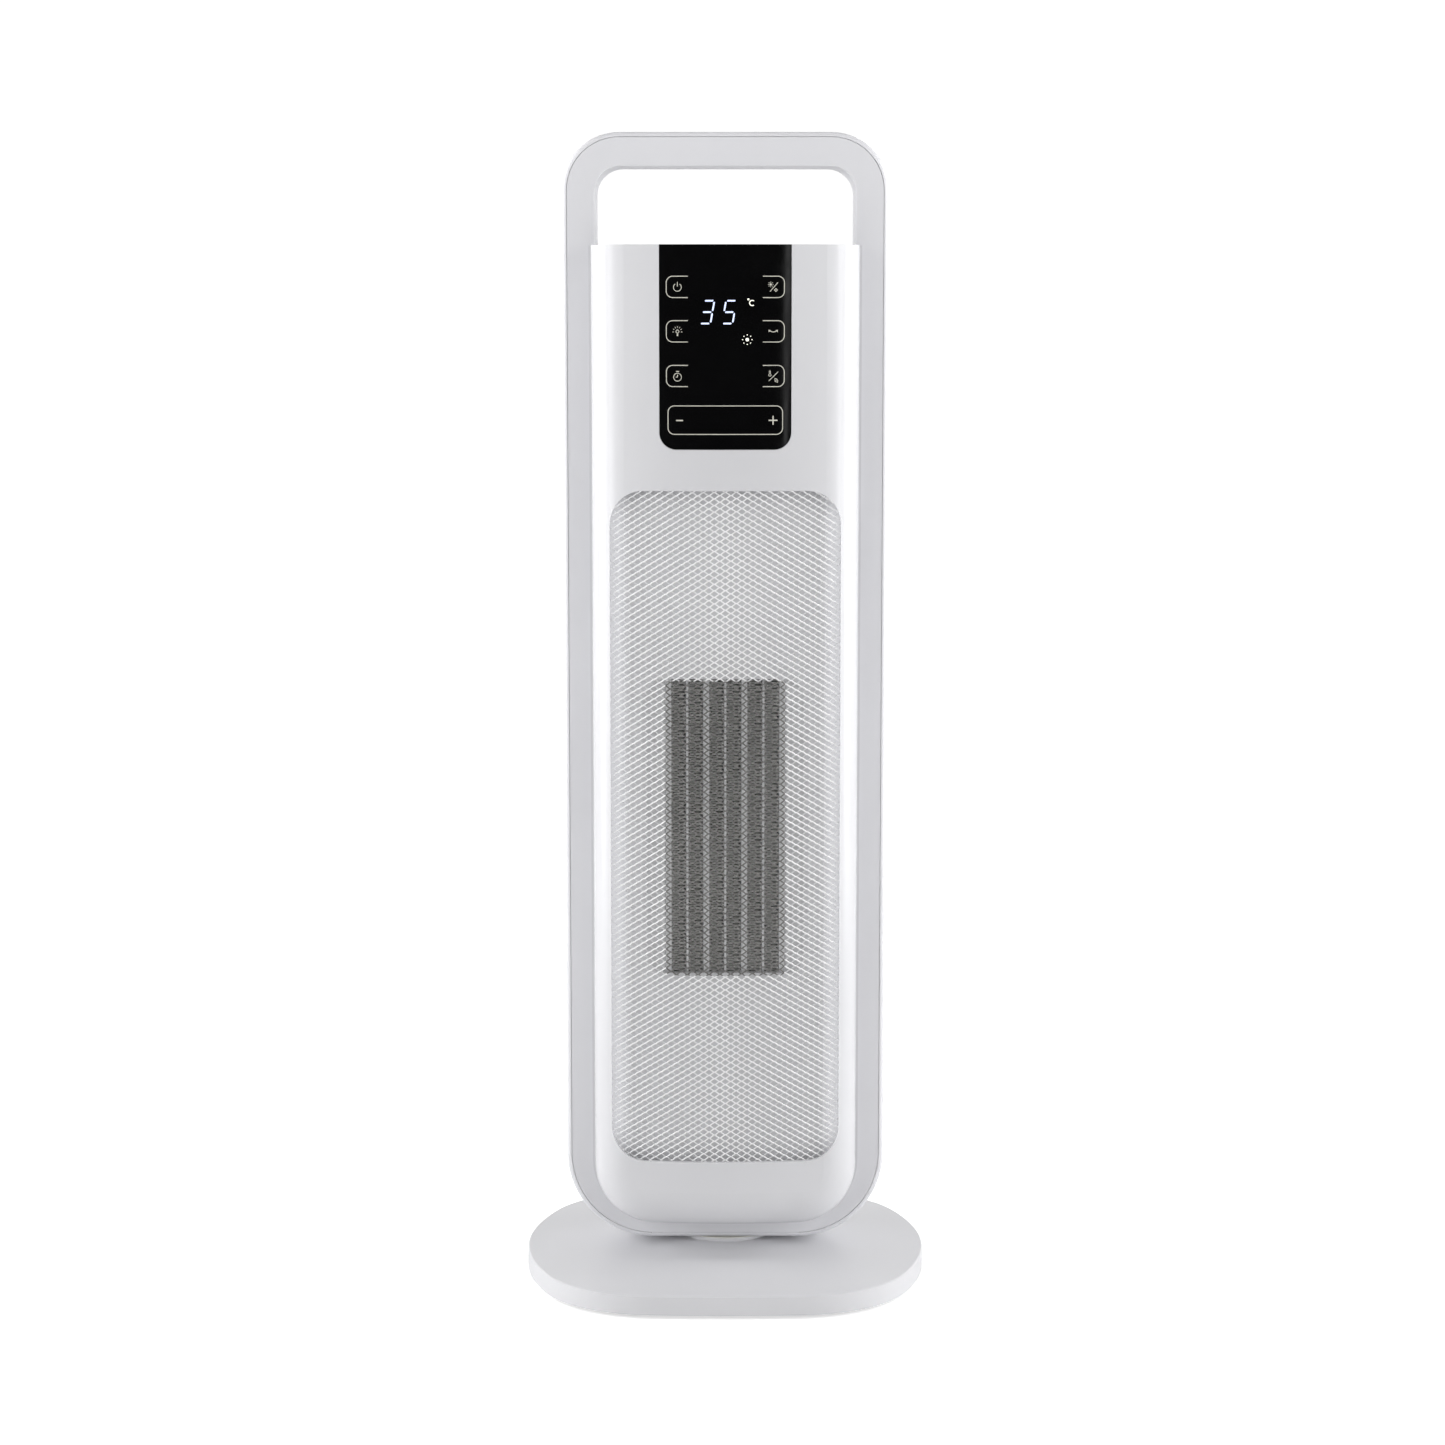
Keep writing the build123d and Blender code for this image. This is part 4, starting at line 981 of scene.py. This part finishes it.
# %% [markdown]
# **Marks on the touch glass.** The icons are printed, and the digits are lit from behind. Each mark is a
# very thin solid that follows the glass. We draw in the panel's own flat millimetres, as lines with a
# width, round dots and filled shapes, and only at the end lay each point on the bowed glass.
#
# Three inks are needed: a warm grey print, a cool white light for the digits and a warm white light for the
# small signs. The print isn't lit, but it too has a little emission, as a stand-in for brighter light on
# it.

# %% Inks
def make_ink(name, colour, glow):
    """A printed or lit mark. Its tone drifts slightly, as screen print and light guides do."""
    material, tree, surface, place = start_material(name)
    drift = between(tree, noise(tree, place, 350.0, 2.0), 0.0, 1.0)
    darker = tuple(0.86 * c for c in colour)
    tone = mix_colour(tree, drift, darker, colour)
    feed(tree, surface, Base_Color=tone, Roughness=0.35, Emission_Color=tone, Emission_Strength=glow)
    return material


printed_grey = make_ink("printed_grey", (0.56, 0.55, 0.48), 0.26)
lit_cool = make_ink("lit_cool", (0.66, 0.74, 1.0), 0.75)
lit_warm = make_ink("lit_warm", (1.0, 1.0, 0.86), 0.9)
print("inks: 3")

# %% [markdown]
# A pen keeps all strokes of one ink. A stroke is a row of points with a width: each point is pushed to both
# sides, square to the line there. Both rows together make one closed band with a front, a back and walls,
# so it exports cleanly.

# %% Pen
INK_FRONT = 0.05 * MM
INK_BACK = 0.02 * MM


def on_glass(x, z, lift):
    """A panel point in millimetres, laid on the glass and lifted off it by lift."""
    across = x * MM
    sag = COVER_CURVE - math.sqrt(COVER_CURVE ** 2 - across ** 2)
    return Vector((across, cover_low.y + sag - lift, z * MM))


def short_spans(path, closed, longest=3.0):
    """The path with points added, so that no span bridges the bow of the glass."""
    result = []
    for index, point in enumerate(path):
        result.append(point)
        if index < len(path) - 1 or closed:
            after = path[(index + 1) % len(path)]
            parts = math.ceil((after - point).length / longest)
            result += [point.lerp(after, part / parts) for part in range(1, parts)]
    return result


class Pen:
    """Collects the strokes of one ink and makes one piece of them."""

    def __init__(self, name, material):
        self.name = name
        self.material = material
        self.bm = bmesh.new()

    def fill(self, outline):
        """A filled shape from its corner points, as a thin solid."""
        area = sum(a[0] * b[1] - b[0] * a[1] for a, b in zip(outline, outline[1:] + outline[:1]))
        points = outline if area > 0 else outline[::-1]
        front = [self.bm.verts.new(on_glass(x, z, INK_FRONT)) for x, z in points]
        back = [self.bm.verts.new(on_glass(x, z, -INK_BACK)) for x, z in points]
        self.bm.faces.new(front)
        self.bm.faces.new(back[::-1])
        for index in range(len(points)):
            after = (index + 1) % len(points)
            self.bm.faces.new((front[after], front[index], back[index], back[after]))

    def stroke(self, points, width, closed=False):
        """A line of that width through the points."""
        path = short_spans([Vector(p) for p in points], closed)
        count = len(path)
        sides = []
        for index, point in enumerate(path):
            before = path[index - 1] if closed or index > 0 else point
            after = path[(index + 1) % count] if closed or index < count - 1 else point
            along_in = (point - before).normalized() if point != before else (after - point).normalized()
            along_out = (after - point).normalized() if after != point else along_in
            along = (along_in + along_out).normalized()
            normal = Vector((-along.y, along.x))
            stretch = 1 / max(0.5, math.sqrt((1 + along_in.dot(along_out)) / 2))
            offset = normal * (width / 2 * stretch)
            sides.append((point + offset, point - offset))
        self.ribbon(sides, closed)

    def ribbon(self, sides, closed):
        """The closed band between two rows of points: front, back and walls, and ends when it is open."""
        rows = []
        for left, right in sides:
            corners = ((left, INK_FRONT), (right, INK_FRONT), (right, -INK_BACK), (left, -INK_BACK))
            rows.append([self.bm.verts.new(on_glass(point.x, point.y, lift)) for point, lift in corners])
        for row, after in zip(rows, rows[1:] + (rows[:1] if closed else [])):
            for corner in range(4):
                beside = (corner + 1) % 4
                self.bm.faces.new((row[corner], row[beside], after[beside], after[corner]))
        if not closed:
            self.bm.faces.new(rows[0][::-1])
            self.bm.faces.new(rows[-1])

    def dot(self, x, z, radius, sides=14):
        """A round dot."""
        turns = [2 * math.pi * step / sides for step in range(sides)]
        self.fill([(x + radius * math.cos(t), z + radius * math.sin(t)) for t in turns])

    def finish(self, slot="touch_glass"):
        """Makes the piece."""
        bmesh.ops.recalc_face_normals(self.bm, faces=self.bm.faces)
        mesh = bpy.data.meshes.new(self.name)
        self.bm.to_mesh(mesh)
        self.bm.free()
        piece = bpy.data.objects.new(self.name, mesh)
        scene.collection.objects.link(piece)
        mesh.materials.append(self.material)
        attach(piece, "tower")
        print(self.name, "faces:", len(mesh.polygons))


def arc(x, z, radius, start, end, steps=16):
    """Points on an arc, angles in degrees from the right, counter-clockwise."""
    turns = [math.radians(start + (end - start) * step / steps) for step in range(steps + 1)]
    return [(x + radius * math.cos(t), z + radius * math.sin(t)) for t in turns]


print("pen ready: marks are", round((INK_FRONT + INK_BACK) / MM, 2), "mm thick")

# %% [markdown]
# Each touch key is framed by a bracket that opens towards the middle of the panel. The minus and plus keys
# share one long box at the bottom.

# %% Key frames
LINE = 0.42
KEY_OUTER = 30.7
KEY_INNER = 19.5
KEY_HEIGHT = 11.0
KEY_CORNER = 3.3
KEY_ROWS = (538.9, 516.0, 492.9)
ICON_X = 24.9
LONG_BOX = (29.9, 462.6, 477.4, 3.3)
MINUS = ((-25.7, 469.8), (-22.1, 469.8))
PLUS = (((22.6, 469.9), (27.2, 469.9)), ((24.9, 467.6), (24.9, 472.2)))
MINUS_PLUS_LINE = 0.62
print_pen = Pen("printed_marks", printed_grey)


def key_frame(side, middle):
    """A bracket that opens towards the middle of the panel."""
    top = middle + KEY_HEIGHT / 2
    bottom = middle - KEY_HEIGHT / 2
    bend = KEY_OUTER - KEY_CORNER
    points = [(KEY_INNER, top)] + arc(bend, top - KEY_CORNER, KEY_CORNER, 90, 0, 8)
    points += arc(bend, bottom + KEY_CORNER, KEY_CORNER, 0, -90, 8) + [(KEY_INNER, bottom)]
    print_pen.stroke([(side * x, z) for x, z in points], LINE)


def long_box(half_width, bottom, top, corner):
    """The closed box round the minus and plus keys."""
    x, low, high = half_width - corner, bottom + corner, top - corner
    turns = ((x, high, 90), (x, low, 0), (-x, low, -90), (-x, high, 180))
    points = [point for x, z, start in turns for point in arc(x, z, corner, start, start - 90, 8)]
    print_pen.stroke(points, LINE, closed=True)


for middle in KEY_ROWS:
    for side in (-1, 1):
        key_frame(side, middle)
long_box(*LONG_BOX)
for line in (MINUS, *PLUS):
    print_pen.stroke(line, MINUS_PLUS_LINE)
print("key frames:", 2 * len(KEY_ROWS))

# %% [markdown]
# The icons are plain signs that any heater could have: power, light, timer, heat or fan, swing, and
# temperature or saving. Each is a few strokes round the key's centre.

# %% Icons
def power_sign(x, z):
    print_pen.stroke(arc(x, z - 0.2, 2.05, 125, 415, 22), 0.36)
    print_pen.stroke([(x, z + 0.2), (x, z + 2.6)], 0.36)


def lamp_sign(x, z):
    print_pen.stroke(arc(x, z - 0.1, 0.8, 0, 360, 14)[:-1], 0.34, closed=True)
    print_pen.stroke([(x, z - 1.2), (x, z - 2.4)], 0.7)
    for turn in (-8, 28, 60, 90, 120, 152, 188):
        angle = math.radians(turn)
        print_pen.stroke([(x + r * math.cos(angle), z + r * math.sin(angle)) for r in (1.85, 2.6)], 0.28)


def timer_sign(x, z):
    print_pen.stroke(arc(x, z - 0.6, 2.05, 0, 360, 24)[:-1], 0.34, closed=True)
    print_pen.fill([(x - 0.8, z + 2.1), (x + 0.8, z + 2.1), (x + 0.8, z + 2.55), (x - 0.8, z + 2.55)])
    print_pen.stroke([(x, z - 0.6), (x, z + 0.7)], 0.36)
    print_pen.stroke([(x, z - 0.6), (x - 0.9, z - 0.6)], 0.36)


def heat_or_fan_sign(x, z):
    print_pen.stroke([(x - 1.7, z - 2.4), (x + 2.4, z + 2.3)], 0.34)
    print_pen.dot(x - 1.35, z + 1.25, 0.62, 12)
    for step in range(8):
        angle = math.radians(45 * step)
        spoke = [(x - 1.35 + r * math.cos(angle), z + 1.25 + r * math.sin(angle)) for r in (0.95, 1.45)]
        print_pen.stroke(spoke, 0.28)
    for step in range(4):
        angle = math.radians(90 * step)
        print_pen.dot(x + 1.35 + 0.62 * math.cos(angle), z - 1.6 + 0.62 * math.sin(angle), 0.36, 10)


def swing_sign(x, z):
    print_pen.stroke(arc(x, z + 2.6, 2.9, 238, 302, 12), 0.42)
    for side in (-1, 1):
        tip = x + side * 2.45
        print_pen.fill([(tip, z + 0.75), (tip - side * 1.15, z + 0.55), (tip - side * 0.1, z - 0.55)])


def warmth_or_saving_sign(x, z):
    print_pen.stroke([(x - 2.2, z - 2.5), (x + 2.6, z + 2.2)], 0.34)
    print_pen.stroke(arc(x - 1.7, z + 0.5, 0.62, 118, 422, 12), 0.3)
    stem = [(x - 1.99, z + 1.05)] + arc(x - 1.7, z + 2.4, 0.29, 180, 0, 6) + [(x - 1.41, z + 1.05)]
    print_pen.stroke(stem, 0.28)
    leaf = arc(x + 0.8, z - 3.0, 1.75, 85, 25, 8) + arc(x + 2.5, z - 1.5, 1.75, 265, 205, 8)
    print_pen.stroke(leaf, 0.3, closed=True)
    print_pen.stroke([(x + 0.9, z - 3.0), (x + 2.0, z - 1.9)], 0.26)


SIGNS = ((power_sign, lamp_sign, timer_sign), (heat_or_fan_sign, swing_sign, warmth_or_saving_sign))
for side, column in zip((-1, 1), SIGNS):
    for draw, middle in zip(column, KEY_ROWS):
        draw(side * ICON_X, middle)
print_pen.finish()
print("signs:", [sign.__name__ for column in SIGNS for sign in column])

# %% [markdown]
# The display shows 35 degrees. A seven-segment digit is a small table of which bars are on, and the bars
# lean ten degrees, so each bar's ends are sheared by their height. The bars' ends are cut to a point, which
# leaves the fine gaps between them.

# %% Digits
DIGIT_HEIGHT = 12.6
DIGIT_WIDTH = 6.3
BAR = 0.84
LEAN = math.tan(math.radians(10))
DIGIT_BASE = 519.6
DIGITS = ((3, -13.7), (5, -2.2))
BAR_GAP = 0.5
BAR_POINT = 0.3
SEGMENTS = {
    "top": ((0, 2), (1, 2)), "middle": ((0, 1), (1, 1)), "bottom": ((0, 0), (1, 0)),
    "upper left": ((0, 1), (0, 2)), "upper right": ((1, 1), (1, 2)),
    "lower left": ((0, 0), (0, 1)), "lower right": ((1, 0), (1, 1)),
}
LIT = {
    3: ("top", "middle", "bottom", "upper right", "lower right"),
    5: ("top", "middle", "bottom", "upper left", "lower right"),
}
digit_pen = Pen("lit_digits", lit_cool)


def draw_digit(value, left):
    """One leaning digit whose lower left corner is at left."""
    wide = DIGIT_WIDTH - BAR
    tall = (DIGIT_HEIGHT - BAR) / 2
    for name in LIT[value]:
        (column, row), (end_column, end_row) = SEGMENTS[name]
        start = Vector((BAR / 2 + column * wide, BAR / 2 + row * tall))
        end = Vector((BAR / 2 + end_column * wide, BAR / 2 + end_row * tall))
        along = (end - start).normalized()
        across = Vector((-along.y, along.x)) * BAR / 2
        start += along * BAR_GAP
        end -= along * BAR_GAP
        shape = [start, start + along * BAR_POINT + across, end - along * BAR_POINT + across, end,
                 end - along * BAR_POINT - across, start + along * BAR_POINT - across]
        digit_pen.fill([(left + p.x + p.y * LEAN, DIGIT_BASE + p.y) for p in shape])


for value, left in DIGITS:
    draw_digit(value, left)
digit_pen.finish()
print("digit height:", DIGIT_HEIGHT, "mm")

# %% [markdown]
# Beside the digits stand a degree sign with a C and, under them, a small sun of a disc and eight dots.

# %% Lit signs
SUN = (11.4, 511.7)
SUN_REACH = 2.45
sign_pen = Pen("lit_signs", lit_warm)
sign_pen.stroke(arc(13.95, 530.6, 1.35, 48, 312, 16), 0.42)
sign_pen.stroke(arc(11.95, 532.5, 0.38, 0, 360, 10)[:-1], 0.3, closed=True)
sign_pen.dot(*SUN, 0.85, 20)
for step in range(8):
    angle = math.radians(45 * step)
    sign_pen.dot(SUN[0] + SUN_REACH * math.cos(angle), SUN[1] + SUN_REACH * math.sin(angle), 0.27, 10)
sign_pen.finish()
